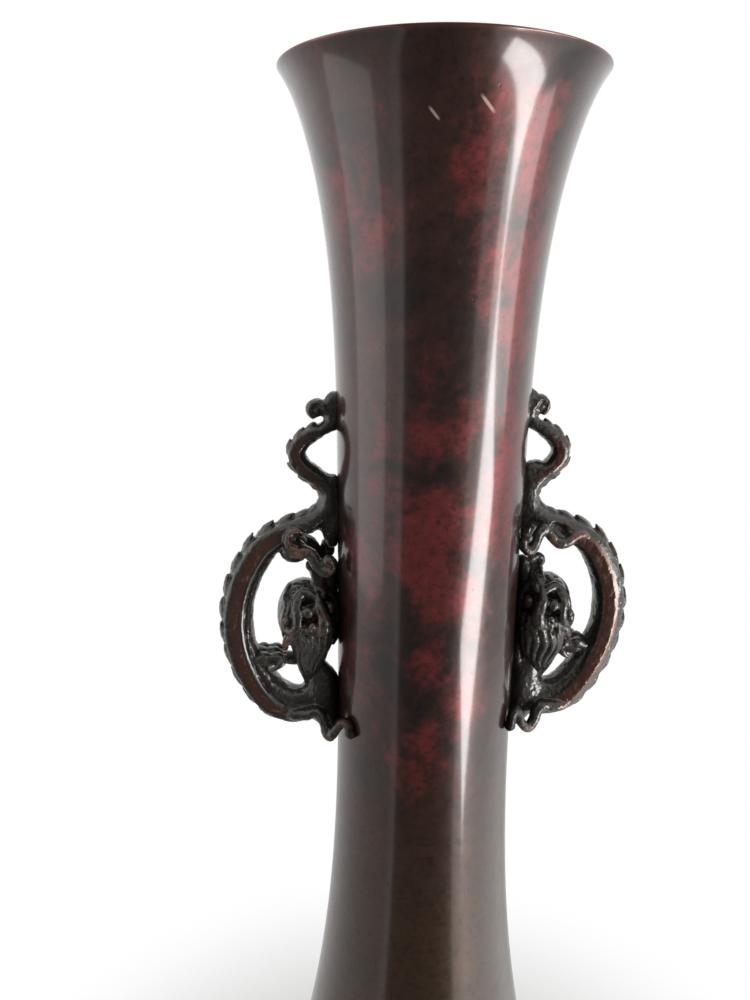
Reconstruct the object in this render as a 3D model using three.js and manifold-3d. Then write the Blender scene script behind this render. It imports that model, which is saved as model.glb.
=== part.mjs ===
// Tall bronze flower vase: a trumpet neck on a rounded body, with a dragon handle on each side.
// Millimetres, +Z up. The origin is the centre of the foot's resting face, and the handles lie along X.
import * as THREE from "three";
import { mergeVertices } from "three/addons/utils/BufferGeometryUtils.js";
import Module from "manifold-3d";

const wasm = await Module();
wasm.setup();

// Vessel, outside
const vaseHeight = 510;
const rimRadius = 55;
const waistRadius = 33.9; // narrowest part of the neck
const waistHeight = 285;
const rootRadius = 48.2; // the neck's foot, where it stands on the body
const rootHeight = 122;
const bellyRadius = 72;
const bellyHeight = 64;
const footHeight = 14;
const footTopRadius = 47;
const footRadius = 52;

// How the neck opens out from its waist: shares of the whole, as powers of the way to the rim
const taperShare = 0.056;
const lipShare = 0.09;
const flarePower = 5.5;
const lipPower = 45;
const rootPower = 2.55; // and to its foot

// Fullness of the body's curves, as shares of the swell sideways and of the rise
const bowl = { out: 0.52, up: 0.12, down: 0.56 };
const shoulder = { up: 0.5, out: 0.27, down: 0.44 };
const coveRise = 0.35;

// Castings' walls and the fits between them
const neckWall = 3;
const bodyWall = 3.5;
const seatGap = 0.3; // the solder gap left between any two castings
const spigotWall = 1.2;
const spigotLength = 8;
const bodyOpeningRadius = 41;
const footRim = 4; // width of the face that the vase stands on
const footEdge = 2.5;
const basePlateThickness = 2.5;
const ledgeThickness = 2.4;
const ledgeWidth = 3;

// Rivets that hold the handles to the neck
const rivetRadius = 1.6;
const rivetHeadRadius = 4;
const rivetHeadHeight = 1.8;
const rivetBite = 2.6; // how far a rivet reaches into the handle, past the neck's outside

// Handles: heights are above the middle of the loop, and distances are out from the neck's face there
const handleHeight = 320;
const rivetHeights = { upper: 74, middle: 46, lower: -35 };
// The swelling round each rivet, by which the handle meets the neck: how far it reaches, out and up
const padReach = { upper: [3.2, 3.8], middle: [2.4, 5], lower: [7, 9] };
const padWidth = 4;
const spinePitch = 8.2;
const spineHeight = 1.9;
const spineRise = 0.7; // length over which a spine steps up
const tendrilRadius = 1.8;
const tendrilBud = 2.3; // the ball that a tendril ends in
const headClearance = 1; // between the head and the neck of the vase
// Each handle was finished by hand. It leans by a share of the distance per mm of height, its tail above
// the bend is pulled in and stretched up by a share per mm, its tendrils sit higher or lower, and its
// head looks round from the neck of the vase by a number of degrees, both to the vase's front.
const tailBend = 40;
const handwork = {
  right: { lean: 0.0012, pull: 0.007, stretch: 0.045, lift: 2.4, look: 60 },
  left: { lean: -0.0006, pull: 0, stretch: 0, lift: -2.4, look: -45 },
};

// Faceting
const roundSides = 36;
const tubeSides = 6;
const rivetSides = 10;
const neckSteps = { outside: [10, 5], inside: [7, 3] }; // above and below the waist
const rimCrowding = 1.8; // how much closer together the facets lie towards the rim

const bronze = {
  neck: [0x4a2320, 0.3],
  body: [0x45221f, 0.32],
  foot: [0x3a2420, 0.36],
  inside: [0x2c2320, 0.6],
  dragon: [0x35261f, 0.36],
};

const point = (x, y, z) => new THREE.Vector3(x, y, z);

// A closed geometry as a solid that can be cut and joined
function solidOf(geometry) {
  const bare = new THREE.BufferGeometry();
  bare.setAttribute("position", geometry.getAttribute("position"));
  bare.setIndex(geometry.index);
  const merged = mergeVertices(bare, 1e-4);
  return new wasm.Manifold(
    new wasm.Mesh({
      numProp: 3,
      vertProperties: new Float32Array(merged.attributes.position.array),
      triVerts: new Uint32Array(merged.index.array),
    }),
  );
}

function geometryOf(solid) {
  const mesh = solid.getMesh();
  const geometry = new THREE.BufferGeometry();
  geometry.setAttribute("position", new THREE.BufferAttribute(mesh.vertProperties, mesh.numProp));
  geometry.setIndex(new THREE.BufferAttribute(mesh.triVerts, 1));
  return geometry;
}

const joined = (solids) => solids.reduce((all, next) => all.add(next));

// A profile of [radius, height] pairs turned about Z. It runs up its outside and down its inside.
function turned(profile) {
  const points = profile.map(([r, z]) => new THREE.Vector2(r, z));
  return solidOf(new THREE.LatheGeometry(points, roundSides).rotateX(Math.PI / 2));
}

// Rings of the same number of points, joined one after another and closed at both ends
function loft(rings) {
  const sides = rings[0].length;
  const centreOf = (ring) => ring.reduce((sum, p) => sum.add(p), point(0, 0, 0)).divideScalar(sides);
  const corners = [...rings.flat(), centreOf(rings[0]), centreOf(rings.at(-1))];
  const first = corners.length - 2;
  const last = corners.length - 1;
  const top = (rings.length - 1) * sides;
  const faces = [];
  for (let j = 0; j < sides; j++) {
    const next = (j + 1) % sides;
    for (let start = 0; start < top; start += sides) {
      const a = start + j;
      const b = start + next;
      faces.push(a, b, b + sides, a, b + sides, a + sides);
    }
    faces.push(first, next, j, last, top + j, top + next);
  }
  const geometry = new THREE.BufferGeometry().setFromPoints(corners);
  geometry.setIndex(faces);
  return solidOf(geometry);
}

// An even tube along a smooth line through the points
function tube(points, radius, steps) {
  const shape = new THREE.Shape().absellipse(0, 0, radius, radius, 0, 2 * Math.PI);
  const geometry = new THREE.ExtrudeGeometry(shape, {
    extrudePath: new THREE.CatmullRomCurve3(points),
    steps,
    curveSegments: tubeSides / 2,
    bevelEnabled: false,
  });
  return solidOf(geometry);
}

function ball(centre, half, around = 7, down = 5) {
  const geometry = new THREE.SphereGeometry(1, around, down).scale(half.x, half.y, half.z);
  return solidOf(geometry.translate(centre.x, centre.y, centre.z));
}

// The neck, a trumpet that widens up to the rim and down to its root

function neckRadius(z) {
  if (z >= waistHeight) {
    const t = (z - waistHeight) / (vaseHeight - waistHeight);
    const flareShare = 1 - taperShare - lipShare;
    const flare = taperShare * t + flareShare * t ** flarePower + lipShare * t ** lipPower;
    return waistRadius + (rimRadius - waistRadius) * flare;
  }
  const s = (waistHeight - z) / (waistHeight - rootHeight);
  return waistRadius + (rootRadius - waistRadius) * s ** rootPower;
}

const neckSlope = (z) => neckRadius(z + 0.5) - neckRadius(z - 0.5); // over one millimetre
const slopeTop = vaseHeight - 0.5;
const neckInside = (z) => neckRadius(z) - neckWall * Math.hypot(1, neckSlope(Math.min(z, slopeTop)));

function neckHeights([aboveWaist, belowWaist]) {
  const heights = [];
  for (let i = 0; i < belowWaist; i++) {
    heights.push(rootHeight + ((waistHeight - rootHeight) * i) / belowWaist);
  }
  for (let i = 0; i <= aboveWaist; i++) {
    const left = 1 - i / aboveWaist;
    heights.push(vaseHeight - (vaseHeight - waistHeight) * left ** rimCrowding);
  }
  return heights;
}

const spigotRadius = neckInside(rootHeight) + spigotWall;
const socketRadius = spigotRadius + seatGap;

function neckShell() {
  const outside = neckHeights(neckSteps.outside).map((z) => [neckRadius(z), z]);
  const inside = neckHeights(neckSteps.inside).map((z) => [neckInside(z), z]);
  const spigotEnd = rootHeight - spigotLength;
  return turned([
    ...outside,
    ...inside.reverse(),
    [neckInside(rootHeight), spigotEnd],
    [spigotRadius, spigotEnd],
    [spigotRadius, rootHeight],
    outside[0],
  ]);
}

// The space that the neck takes up, grown by a gap, which is cut from what is seated on it
function neckSpace(gap) {
  const outside = neckHeights(neckSteps.outside).map((z) => [neckRadius(z) + gap, z]);
  return turned([[0, rootHeight], ...outside, [0, vaseHeight]]);
}

// The body's outside from its foot up to the neck, in two curves that meet at the belly
function bodyCurves() {
  const corner = (r, z) => new THREE.Vector2(r, z);
  const lowerRise = bellyHeight - footHeight;
  const upperRise = rootHeight - bellyHeight;
  const lower = new THREE.CubicBezierCurve(
    corner(footTopRadius, footHeight),
    corner(footTopRadius + bowl.out * (bellyRadius - footTopRadius), footHeight + bowl.up * lowerRise),
    corner(bellyRadius, bellyHeight - bowl.down * lowerRise),
    corner(bellyRadius, bellyHeight),
  );
  const upper = new THREE.CubicBezierCurve(
    corner(bellyRadius, bellyHeight),
    corner(bellyRadius, bellyHeight + shoulder.up * upperRise),
    corner(rootRadius + shoulder.out * (bellyRadius - rootRadius), rootHeight - shoulder.down * upperRise),
    corner(rootRadius, rootHeight),
  );
  return [lower, upper];
}

function bodyShell() {
  const steps = 5;
  const outside = [];
  const inside = [];
  for (const curve of bodyCurves()) {
    for (let i = 0; i < steps; i++) {
      const p = curve.getPoint(i / steps);
      const along = curve.getTangent(i / steps);
      outside.push([p.x, p.y]);
      inside.push([p.x - along.y * bodyWall, p.y + along.x * bodyWall]);
    }
  }
  const socketEnd = rootHeight - spigotLength - 2 * seatGap;
  const floor = footHeight + bodyWall;
  const hollow = inside.filter(([r, z]) => r > socketRadius && z > floor && z < socketEnd);
  return turned([
    ...outside,
    [rootRadius, rootHeight],
    [socketRadius, rootHeight],
    [socketRadius, socketEnd],
    ...hollow.reverse(),
    [bodyOpeningRadius, floor],
    [bodyOpeningRadius, footHeight],
    outside[0],
  ]);
}

// The foot, a ring with a ledge inside on which the plate that closes the bottom lies

const plateSeatRadius = bodyOpeningRadius + ledgeWidth;
const basePlateTop = footHeight - seatGap;
const basePlateUnderside = basePlateTop - basePlateThickness;
const ledgeTop = basePlateUnderside - seatGap;

function footRing() {
  const coveHeight = footEdge + coveRise * (footHeight - footEdge);
  const cove = new THREE.CubicBezierCurve(
    new THREE.Vector2(footRadius, footEdge),
    new THREE.Vector2(footRadius, coveHeight),
    new THREE.Vector2(footTopRadius, coveHeight),
    new THREE.Vector2(footTopRadius, footHeight),
  );
  return turned([
    [footRadius - footRim, 0],
    [footRadius, 0],
    ...cove.getPoints(5).map((p) => [p.x, p.y]),
    [plateSeatRadius, footHeight],
    [plateSeatRadius, ledgeTop],
    [bodyOpeningRadius, ledgeTop],
    [bodyOpeningRadius, ledgeTop - ledgeThickness],
    [footRadius - footRim, 0],
  ]);
}

function basePlate() {
  const radius = plateSeatRadius - seatGap;
  return turned([
    [0, basePlateUnderside],
    [radius, basePlateUnderside],
    [radius, basePlateTop],
    [0, basePlateTop],
  ]);
}

// Handles, made on the +X side. A place on one is [distance, sideways, height], and turn is -1 for the
// copy of a paired feature on the far side.

const neckFace = neckRadius(handleHeight);
const handlePoint = ([d, y, h], turn = 1) => point(neckFace + d, turn * y, handleHeight + h);

// The dragon's line from the curled tip of its tail, down round the loop and up its own neck.
// Each station is [distance, height, half width in the plane, half width sideways, squareness].
const curlCentre = [6.8, 77.8];
const curlRadius = 2.7;
const curlStations = [-80, -35, 10, 55, 100, 150].map((degrees, i) => {
  const a = THREE.MathUtils.degToRad(degrees);
  const distance = curlCentre[0] + curlRadius * Math.cos(a);
  const height = curlCentre[1] + curlRadius * Math.sin(a);
  return [distance, height, 1.2 + 0.1 * i, 2.4 + 0.2 * i, 0];
});
const tailStations = [
  [2.4, 75.2, 1.9, 3.2, 0],
  [4.2, 71.8, 2.4, 3.5, 0],
  [9.0, 69.4, 2.8, 3.9, 0],
  [13.6, 66.2, 3.1, 4.2, 0.1],
  [15.8, 61.6, 3.3, 4.5, 0.3],
  [13.2, 57.0, 3.4, 4.8, 0.3],
  [8.2, 53.4, 3.4, 5.0, 0.3],
  [4.4, 49.4, 3.4, 5.2, 0.3],
  [3.4, 44.8, 3.2, 5.4, 0.3],
  [4.8, 40.4, 3.5, 5.7, 0.4],
  [9.2, 36.8, 3.9, 6.0, 0.5],
  [14.2, 34.6, 4.1, 6.2, 0.6],
];
const loopStations = [
  [19.4, 32.4, 4.5, 6.5, 0.8],
  [24.8, 29.2, 4.9, 6.8, 1],
  [29.4, 24.6, 5.3, 7.0, 1],
  [34.2, 15.8, 5.5, 7.0, 1],
  [36.8, 7.0, 5.6, 7.0, 1],
  [37.6, -1.5, 5.6, 7.0, 1],
  [36.9, -9.5, 5.6, 7.0, 1],
  [35.1, -17.0, 5.5, 7.0, 1],
  [32.3, -24.0, 5.4, 7.0, 1],
  [28.8, -30.2, 5.3, 7.0, 1],
  [24.6, -35.2, 5.2, 7.0, 1],
  [19.6, -38.4, 5.0, 6.8, 1],
];
const throatStations = [
  [14.2, -39.6, 4.7, 6.6, 0.7],
  [9.8, -38.2, 4.5, 6.2, 0.4],
  [7.8, -34.2, 4.3, 5.8, 0.2],
  [7.6, -29.6, 3.9, 5.4, 0],
];
// The throat goes on as a tenon, over which the head is fitted
const tenonStations = [
  [7.6, -24.5, 3.2, 4.4, 0],
  [8.0, -20.0, 2.6, 3.4, 0],
  [8.6, -15.5, 2.6, 3.4, 0],
];
const dragonStations = [
  ...curlStations,
  ...tailStations,
  ...loopStations,
  ...throatStations,
  ...tenonStations,
];

// Half sections, from the middle of the back round to the belly: [out of the back, sideways]
const roundSection = [[1, 0], [0.81, 0.59], [0.31, 0.95], [-0.31, 0.95], [-0.81, 0.59], [-1, 0]];
const strapSection = [[0.98, 0], [0.82, 0.68], [0.5, 0.96], [-0.25, 1], [-0.7, 0.68], [-1, 0]];

function dragonCurve(hand) {
  const place = ([d, h]) => {
    const above = Math.max(0, h - tailBend);
    const reach = d * (1 + hand.lean * h - hand.pull * above);
    return handlePoint([reach, 0, h + hand.stretch * above]);
  };
  const curve = new THREE.CatmullRomCurve3(dragonStations.map(place), false, "centripetal");
  curve.arcLengthDivisions = 600;
  return curve;
}

const dragonSizes = new THREE.CatmullRomCurve3(
  dragonStations.map(([, , half, side, square]) => point(half, side, square)),
);

// A ring of the dragon's body at a share of its length, grown all round by a gap, its back raised by a spine
function dragonRing(curve, share, gap, raised) {
  const t = curve.getUtoTmapping(share);
  const centre = curve.getPoint(t);
  const along = curve.getTangent(t);
  const back = point(-along.z, 0, along.x); // outwards on the loop
  const { x: half, y: side, z: square } = dragonSizes.getPoint(t);
  const at = ([n, s], turn) => {
    const spine = s === 0 && n > 0 ? raised : 0;
    const corner = centre.clone().addScaledVector(back, n * (half + gap) + spine);
    return corner.add(point(0, turn * s * (side + gap), 0));
  };
  const section = roundSection.map(([n, s], i) => [
    THREE.MathUtils.lerp(n, strapSection[i][0], square),
    THREE.MathUtils.lerp(s, strapSection[i][1], square),
  ]);
  const near = section.map((p) => at(p, -1));
  const far = section.slice(1, -1).reverse().map((p) => at(p, 1));
  return [...near, ...far];
}

// The share of a curve's length at which a station lies
function shareOf(curve, station) {
  const lengths = curve.getLengths();
  const t = station / (dragonStations.length - 1);
  return lengths[Math.round(t * (lengths.length - 1))] / lengths.at(-1);
}

const firstSpined = curlStations.length + 2;
const lastSpined = curlStations.length + tailStations.length + loopStations.length - 1;
const smallestSpine = 0.45; // of the full height, at the tail
const spineFall = { place: 0.55, height: 0.4 }; // a spine's back, as shares of the pitch and of its height
const plainRings = { tail: 13, throat: 8 };

function dragonBody(hand, gap = 0) {
  const curve = dragonCurve(hand);
  const length = curve.getLength();
  const start = shareOf(curve, firstSpined);
  const end = shareOf(curve, lastSpined);
  const spines = Math.round(((end - start) * length) / spinePitch);
  const pitch = (end - start) / spines;
  const rings = [];
  const addRing = (share, raised) => rings.push(dragonRing(curve, share, gap, gap ? 0 : raised));
  for (let i = 0; i < plainRings.tail; i++) {
    addRing((start * i) / plainRings.tail, 0);
  }
  for (let i = 0; i < spines; i++) {
    const foot = start + pitch * i;
    const height = spineHeight * Math.min(1, smallestSpine + i / spines);
    addRing(foot, 0);
    addRing(foot + spineRise / length, height);
    addRing(foot + spineFall.place * pitch, spineFall.height * height);
  }
  for (let i = 0; i <= plainRings.throat; i++) {
    addRing(end + ((1 - end) * i) / plainRings.throat, 0);
  }
  return loft(rings);
}

// Curled tendrils on each side of the dragon, one pair at its haunch and one at its chest
const upperTendril = [
  [19.5, 6.0, 29.4],
  [15.0, 7.4, 29.6],
  [10.8, 8.2, 29.4],
  [7.6, 8.6, 26.4],
  [5.4, 9.0, 22.8],
  [3.0, 9.6, 21.6],
  [1.2, 10.2, 24.0],
  [2.2, 10.2, 26.4],
];
const lowerTendril = [
  [13.6, 5.0, -37.0],
  [9.4, 7.8, -38.4],
  [7.6, 9.4, -43.0],
  [5.0, 10.8, -47.2],
  [2.4, 12.2, -45.6],
  [0.3, 13.9, -40.4],
  [-1.4, 15.9, -38.4],
  [-2.8, 17.6, -40.6],
];

function tendril(places, turn, lift) {
  const line = places.map(([d, y, h]) => handlePoint([d, y, h + lift], turn));
  const bud = ball(line.at(-1), point(tendrilBud, tendrilBud, tendrilBud));
  return tube(line, tendrilRadius, 2 * places.length).add(bud);
}

const haunchPlace = [18.4, 3.6, 26.6];
const haunchHalf = point(4.8, 4.0, 4.2);
const hipPlace = [3.0, 0, 35.5]; // fills in between the tail's root and the wall
const hipHalf = point(5.5, 3.6, 6.5);
const curlBossHalf = point(1.9, 2.8, 1.9);

function pad(name) {
  const [depth, height] = padReach[name];
  const z = handleHeight + rivetHeights[name];
  return ball(point(neckRadius(z), 0, z), point(depth, padWidth, height));
}

// The hole that a rivet is set in: clear through the neck and blind in the handle
function rivetHole(height) {
  const z = handleHeight + height;
  const radius = rivetRadius + seatGap;
  const reach = neckRadius(z) + rivetBite + seatGap;
  const geometry = new THREE.CylinderGeometry(radius, radius, reach, rivetSides);
  return solidOf(geometry.rotateZ(Math.PI / 2).translate(reach / 2, 0, z));
}

const rivetHoles = Object.values(rivetHeights).map(rivetHole);

function dragonCasting(hand) {
  const curlBoss = ball(handlePoint([curlCentre[0], 0, curlCentre[1]]), curlBossHalf);
  const pads = Object.keys(padReach).map(pad);
  const pairs = [-1, 1].flatMap((turn) => [
    tendril(upperTendril, turn, hand.lift),
    tendril(lowerTendril, turn, hand.lift),
    ball(handlePoint(haunchPlace, turn), haunchHalf, 8, 6),
  ]);
  const hip = ball(handlePoint(hipPlace), hipHalf);
  const whole = joined([dragonBody(hand), curlBoss, hip, ...pads, ...pairs]);
  return whole.subtract(joined([neckSpace(seatGap), ...rivetHoles]));
}

// The forepaw reaches from the chest under the jaw to the inside of the loop
const forelegLine = [
  [9.0, 0, -20.0],
  [14.5, 0, -18.0],
  [20.0, 0, -17.2],
  [26.0, 0, -16.8],
  [32.0, 0, -16.8],
];
const forelegHalf = { high: 2.5, wide: 3.4 };
const pawSwell = { high: 1.0, wide: 2.2 };
const clawRadius = 1.1;
const clawLines = [
  [[23.0, 2.3, -15.6], [28.0, 3.9, -14.4], [32.4, 4.6, -16.2]],
  [[23.0, 2.2, -18.6], [28.0, 3.7, -17.4], [32.4, 4.4, -19.4]],
];

function foreleg(gap = 0) {
  const line = new THREE.CatmullRomCurve3(forelegLine.map((p) => handlePoint(p)));
  const rings = [];
  const steps = 9;
  const sides = 8;
  for (let i = 0; i <= steps; i++) {
    const t = i / steps;
    const along = line.getTangent(t);
    const up = point(-along.z, 0, along.x);
    const high = forelegHalf.high + pawSwell.high * t ** 3 + gap;
    const wide = forelegHalf.wide + pawSwell.wide * t ** 3 + gap;
    const ring = [];
    for (let j = 0; j < sides; j++) {
      const a = (2 * Math.PI * j) / sides;
      const corner = line.getPoint(t).addScaledVector(up, high * Math.cos(a));
      ring.push(corner.add(point(0, -wide * Math.sin(a), 0)));
    }
    rings.push(ring);
  }
  return loft(rings);
}

function forepaw(hand) {
  const claws = [-1, 1].flatMap((turn) =>
    clawLines.map((line) => tube(line.map((p) => handlePoint(p, turn)), clawRadius, 5)),
  );
  return joined([foreleg(), ...claws]).subtract(dragonBody(hand, seatGap));
}

// The head sits on the throat, with a curled crest, laid-back ears, cheek leaves and a wavy beard. A
// place on it is [forwards, sideways, height] from its upright axis, as if it looked at the vase's neck.
const headReach = 12.4; // the axis's distance
const headPoint = ([f, s, h], turn = 1) => handlePoint([headReach - f, s, h], turn);
const skullHalf = point(13.0, 10.0, 14.8);
const nosePlace = [11.2, 0, -3.4];
const noseHalf = point(3.6, 4.2, 3.2);
const eyePlace = [7.9, 5.6, 6.8];
const eyeHalf = point(2.4, 2.4, 2.4);

// Each ring of the beard is [forwards, height, half depth, half width]
const beardRings = [
  [4.8, -7.0, 7.0, 7.6],
  [4.4, -12.0, 6.8, 7.4],
  [3.8, -17.0, 5.6, 6.0],
  [2.8, -22.0, 4.2, 4.4],
  [1.8, -26.0, 2.2, 2.4],
  [1.2, -28.4, 0.7, 0.8],
];
const beardLocks = 7;
const lockDepth = 0.16; // share of the beard's width by which the hollows between its locks sink
const lockSwing = 0.22; // radians that the locks wave to either side
const lockStep = 1.9; // radians of the wave from one ring to the next

function beard() {
  const corners = 2 * beardLocks;
  const rings = beardRings.map(([f, h, half, side], i) => {
    const ring = [];
    for (let j = 0; j < corners; j++) {
      const a = (2 * Math.PI * j) / corners + lockSwing * Math.sin(lockStep * i);
      const reach = j % 2 ? 1 - lockDepth : 1 + lockDepth / 2;
      ring.push(headPoint([f - reach * half * Math.cos(a), -reach * side * Math.sin(a), h]));
    }
    return ring;
  });
  return loft(rings);
}

// From the curl on the crown down the forehead to the nose
const crestLine = [
  [-0.6, -4.6, 16.6],
  [0.2, -4.4, 18.8],
  [2.4, -3.6, 18.6],
  [4.2, -2.0, 16.0],
  [7.4, 0, 12.8],
  [10.8, 0, 7.4],
  [12.2, 0, 1.6],
  [12.2, 0, -3.0],
];
const earLine = [
  [7.2, 6.4, 12.0],
  [6.2, 8.4, 8.4],
  [5.6, 9.2, 3.4],
  [4.8, 9.0, -1.0],
  [2.6, 9.8, -2.6],
  [0.8, 10.6, -1.2],
  [1.6, 10.8, 1.0],
];
const earRadius = 1.5;
const cheekLine = [
  [5.6, 6.2, -4.6],
  [4.2, 8.8, -7.6],
  [2.6, 11.2, -10.4],
];
const cheekRadius = 1.7;

function dragonHead(hand) {
  const skull = ball(headPoint([0, 0, 0]), skullHalf, 14, 10);
  const nose = ball(headPoint(nosePlace), noseHalf, 8, 6);
  const crestSide = -Math.sign(hand.look); // the curl leans to the side that the head turns away from
  const crest = tube(crestLine.map((p) => headPoint(p, crestSide)), tendrilRadius, 12);
  const pairs = [-1, 1].flatMap((turn) => [
    ball(headPoint(eyePlace, turn), eyeHalf),
    tube(earLine.map((p) => headPoint(p, turn)), earRadius, 10),
    tube(cheekLine.map((p) => headPoint(p, turn)), cheekRadius, 4),
  ]);
  const whole = joined([skull, nose, crest, beard(), ...pairs]);
  const axis = headPoint([0, 0, 0]).x;
  const turnedHead = whole.translate([-axis, 0, 0]).rotate([0, 0, hand.look]).translate([axis, 0, 0]);
  const room = joined([neckSpace(headClearance), dragonBody(hand, seatGap), foreleg(seatGap)]);
  return turnedHead.subtract(room);
}

// A rivet set from inside the vase: its domed head lies against the neck's wall
function rivet(height) {
  const z = handleHeight + height;
  const wallInside = neckInside(z);
  const sag = wallInside - Math.sqrt(wallInside ** 2 - rivetHeadRadius ** 2);
  const headFace = wallInside - sag - seatGap;
  const tip = neckRadius(z) + rivetBite;
  const profile = [
    [0, headFace - rivetHeadHeight],
    [rivetHeadRadius * 0.6, headFace - rivetHeadHeight * 0.85],
    [rivetHeadRadius, headFace],
    [rivetRadius, headFace],
    [rivetRadius, tip],
    [0, tip],
  ];
  const points = profile.map(([r, x]) => new THREE.Vector2(r, x));
  const geometry = new THREE.LatheGeometry(points, rivetSides).rotateZ(-Math.PI / 2);
  return solidOf(geometry.translate(0, 0, z));
}

// Assembly

const vase = new THREE.Group();

function addPiece(group, name, solid, [colour, roughness]) {
  const material = new THREE.MeshStandardMaterial({ color: colour, roughness, metalness: 0.85 });
  const mesh = new THREE.Mesh(geometryOf(solid), material);
  mesh.name = name;
  group.add(mesh);
}

const holesBothSides = rivetHoles.flatMap((hole) => [hole, hole.rotate([0, 0, 180])]);
addPiece(vase, "neck", neckShell().subtract(joined(holesBothSides)), bronze.neck);
addPiece(vase, "body", bodyShell(), bronze.body);
addPiece(vase, "foot_ring", footRing(), bronze.foot);
addPiece(vase, "base_plate", basePlate(), bronze.inside);

for (const [side, hand] of Object.entries(handwork)) {
  const handle = new THREE.Group();
  handle.rotation.z = side === "left" ? Math.PI : 0;
  addPiece(handle, `${side}_dragon_body`, dragonCasting(hand), bronze.dragon);
  addPiece(handle, `${side}_dragon_head`, dragonHead(hand), bronze.dragon);
  addPiece(handle, `${side}_forepaw`, forepaw(hand), bronze.dragon);
  for (const [name, height] of Object.entries(rivetHeights)) {
    addPiece(handle, `${side}_${name}_rivet`, rivet(height), bronze.inside);
  }
  vase.add(handle);
}

export default vase;
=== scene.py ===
"""Looks of a tall bronze flower vase with a dragon handle on each side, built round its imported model.

Shapes are worked out in millimetres and become metres when a piece is finished. +Z is up, and the
handles lie along X. Both handles are shaped on the +X side, and the left one is turned round.
"""

import math

import bmesh
import bpy
import numpy as np
from mathutils import Matrix, Vector, noise
from mathutils.kdtree import KDTree


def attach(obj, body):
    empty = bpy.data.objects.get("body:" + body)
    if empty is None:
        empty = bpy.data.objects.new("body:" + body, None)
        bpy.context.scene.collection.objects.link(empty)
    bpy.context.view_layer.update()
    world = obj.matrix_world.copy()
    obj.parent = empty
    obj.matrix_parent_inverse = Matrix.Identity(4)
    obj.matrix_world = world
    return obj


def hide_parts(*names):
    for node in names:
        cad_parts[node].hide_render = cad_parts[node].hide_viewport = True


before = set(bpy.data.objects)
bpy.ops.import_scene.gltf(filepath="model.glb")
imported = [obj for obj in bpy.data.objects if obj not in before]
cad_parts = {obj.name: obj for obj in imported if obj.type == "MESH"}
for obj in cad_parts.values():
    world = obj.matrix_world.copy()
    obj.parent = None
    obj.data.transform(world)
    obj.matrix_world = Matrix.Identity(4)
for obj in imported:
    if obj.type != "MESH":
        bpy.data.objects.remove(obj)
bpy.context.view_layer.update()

MM = 0.001

# Vessel
VASE_HEIGHT = 510
RIM_RADIUS = 55
WAIST_RADIUS = 33.9
WAIST_HEIGHT = 285
ROOT_RADIUS = 48.2
ROOT_HEIGHT = 122
BELLY_RADIUS = 72
BELLY_HEIGHT = 64
FOOT_HEIGHT = 14
FOOT_TOP_RADIUS = 47
FOOT_RADIUS = 52
NECK_WALL = 3
BODY_WALL = 3.5
SEAT_GAP = 0.3
SPIGOT_LENGTH = 8
SPIGOT_WALL = 1.2
BODY_OPENING_RADIUS = 41
FOOT_RIM = 4
FOOT_EDGE = 2.5
BASE_PLATE = 2.5
LEDGE_THICKNESS = 2.4
LEDGE_WIDTH = 3
ROUND = 192  # faces round the vessel
BELOW_WAIST, ABOVE_WAIST = 28, 56  # rows of points on the neck's outline
RIM_CLEARANCE = 1.4  # no row lies nearer to the rim, so that its rounding has room

# The neck's radius above the waist grows in three parts, each a share and a power of the height: a slight
# taper, the flare and the lip. Below the waist it grows in one sweep.
FLARE = ((0.056, 1), (0.854, 5.5), (0.09, 45))
SWEEP = 2.55

# Handles
HANDLE_HEIGHT = 320
HEAD_REACH = 12.4


def through(rows, t):
    """The values at t, counted in rows, on a smooth line through the rows."""
    i = min(int(t), len(rows) - 2)
    a, b, c, d = (rows[min(max(i + k, 0), len(rows) - 1)] for k in (-1, 0, 1, 2))
    f = t - i
    return b + 0.5 * f * (c - a + f * (2 * a - 5 * b + 4 * c - d + f * (3 * (b - c) + d - a)))


# Vessel profiles, in [radius, height]


def neck_radius(z):
    if z >= WAIST_HEIGHT:
        t = (z - WAIST_HEIGHT) / (VASE_HEIGHT - WAIST_HEIGHT)
        flare = sum(share * t**power for share, power in FLARE)
        return WAIST_RADIUS + (RIM_RADIUS - WAIST_RADIUS) * flare
    s = (WAIST_HEIGHT - z) / (WAIST_HEIGHT - ROOT_HEIGHT)
    return WAIST_RADIUS + (ROOT_RADIUS - WAIST_RADIUS) * s**SWEEP


def neck_inside(z):
    low = min(z, VASE_HEIGHT - 0.5)
    slope = neck_radius(low + 0.5) - neck_radius(low - 0.5)
    return neck_radius(z) - NECK_WALL * math.hypot(1, slope)


def bezier(corners, steps):
    """Points along a cubic curve, its first and its last among them."""
    p = np.array(corners, float)
    made = []
    for i in range(steps + 1):
        t = i / steps
        weights = ((1 - t) ** 3, 3 * t * (1 - t) ** 2, 3 * t * t * (1 - t), t**3)
        made.append(tuple(sum(w * corner for w, corner in zip(weights, p))))
    return made


def offset_inwards(points, wall):
    """The points of a rising outside profile, each moved square to it into the wall."""
    made = []
    for i, (r, z) in enumerate(points):
        before, after = points[max(i - 1, 0)], points[min(i + 1, len(points) - 1)]
        dr, dz = after[0] - before[0], after[1] - before[1]
        length = math.hypot(dr, dz)
        made.append((r - wall * dz / length, z + wall * dr / length))
    return made


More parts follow.
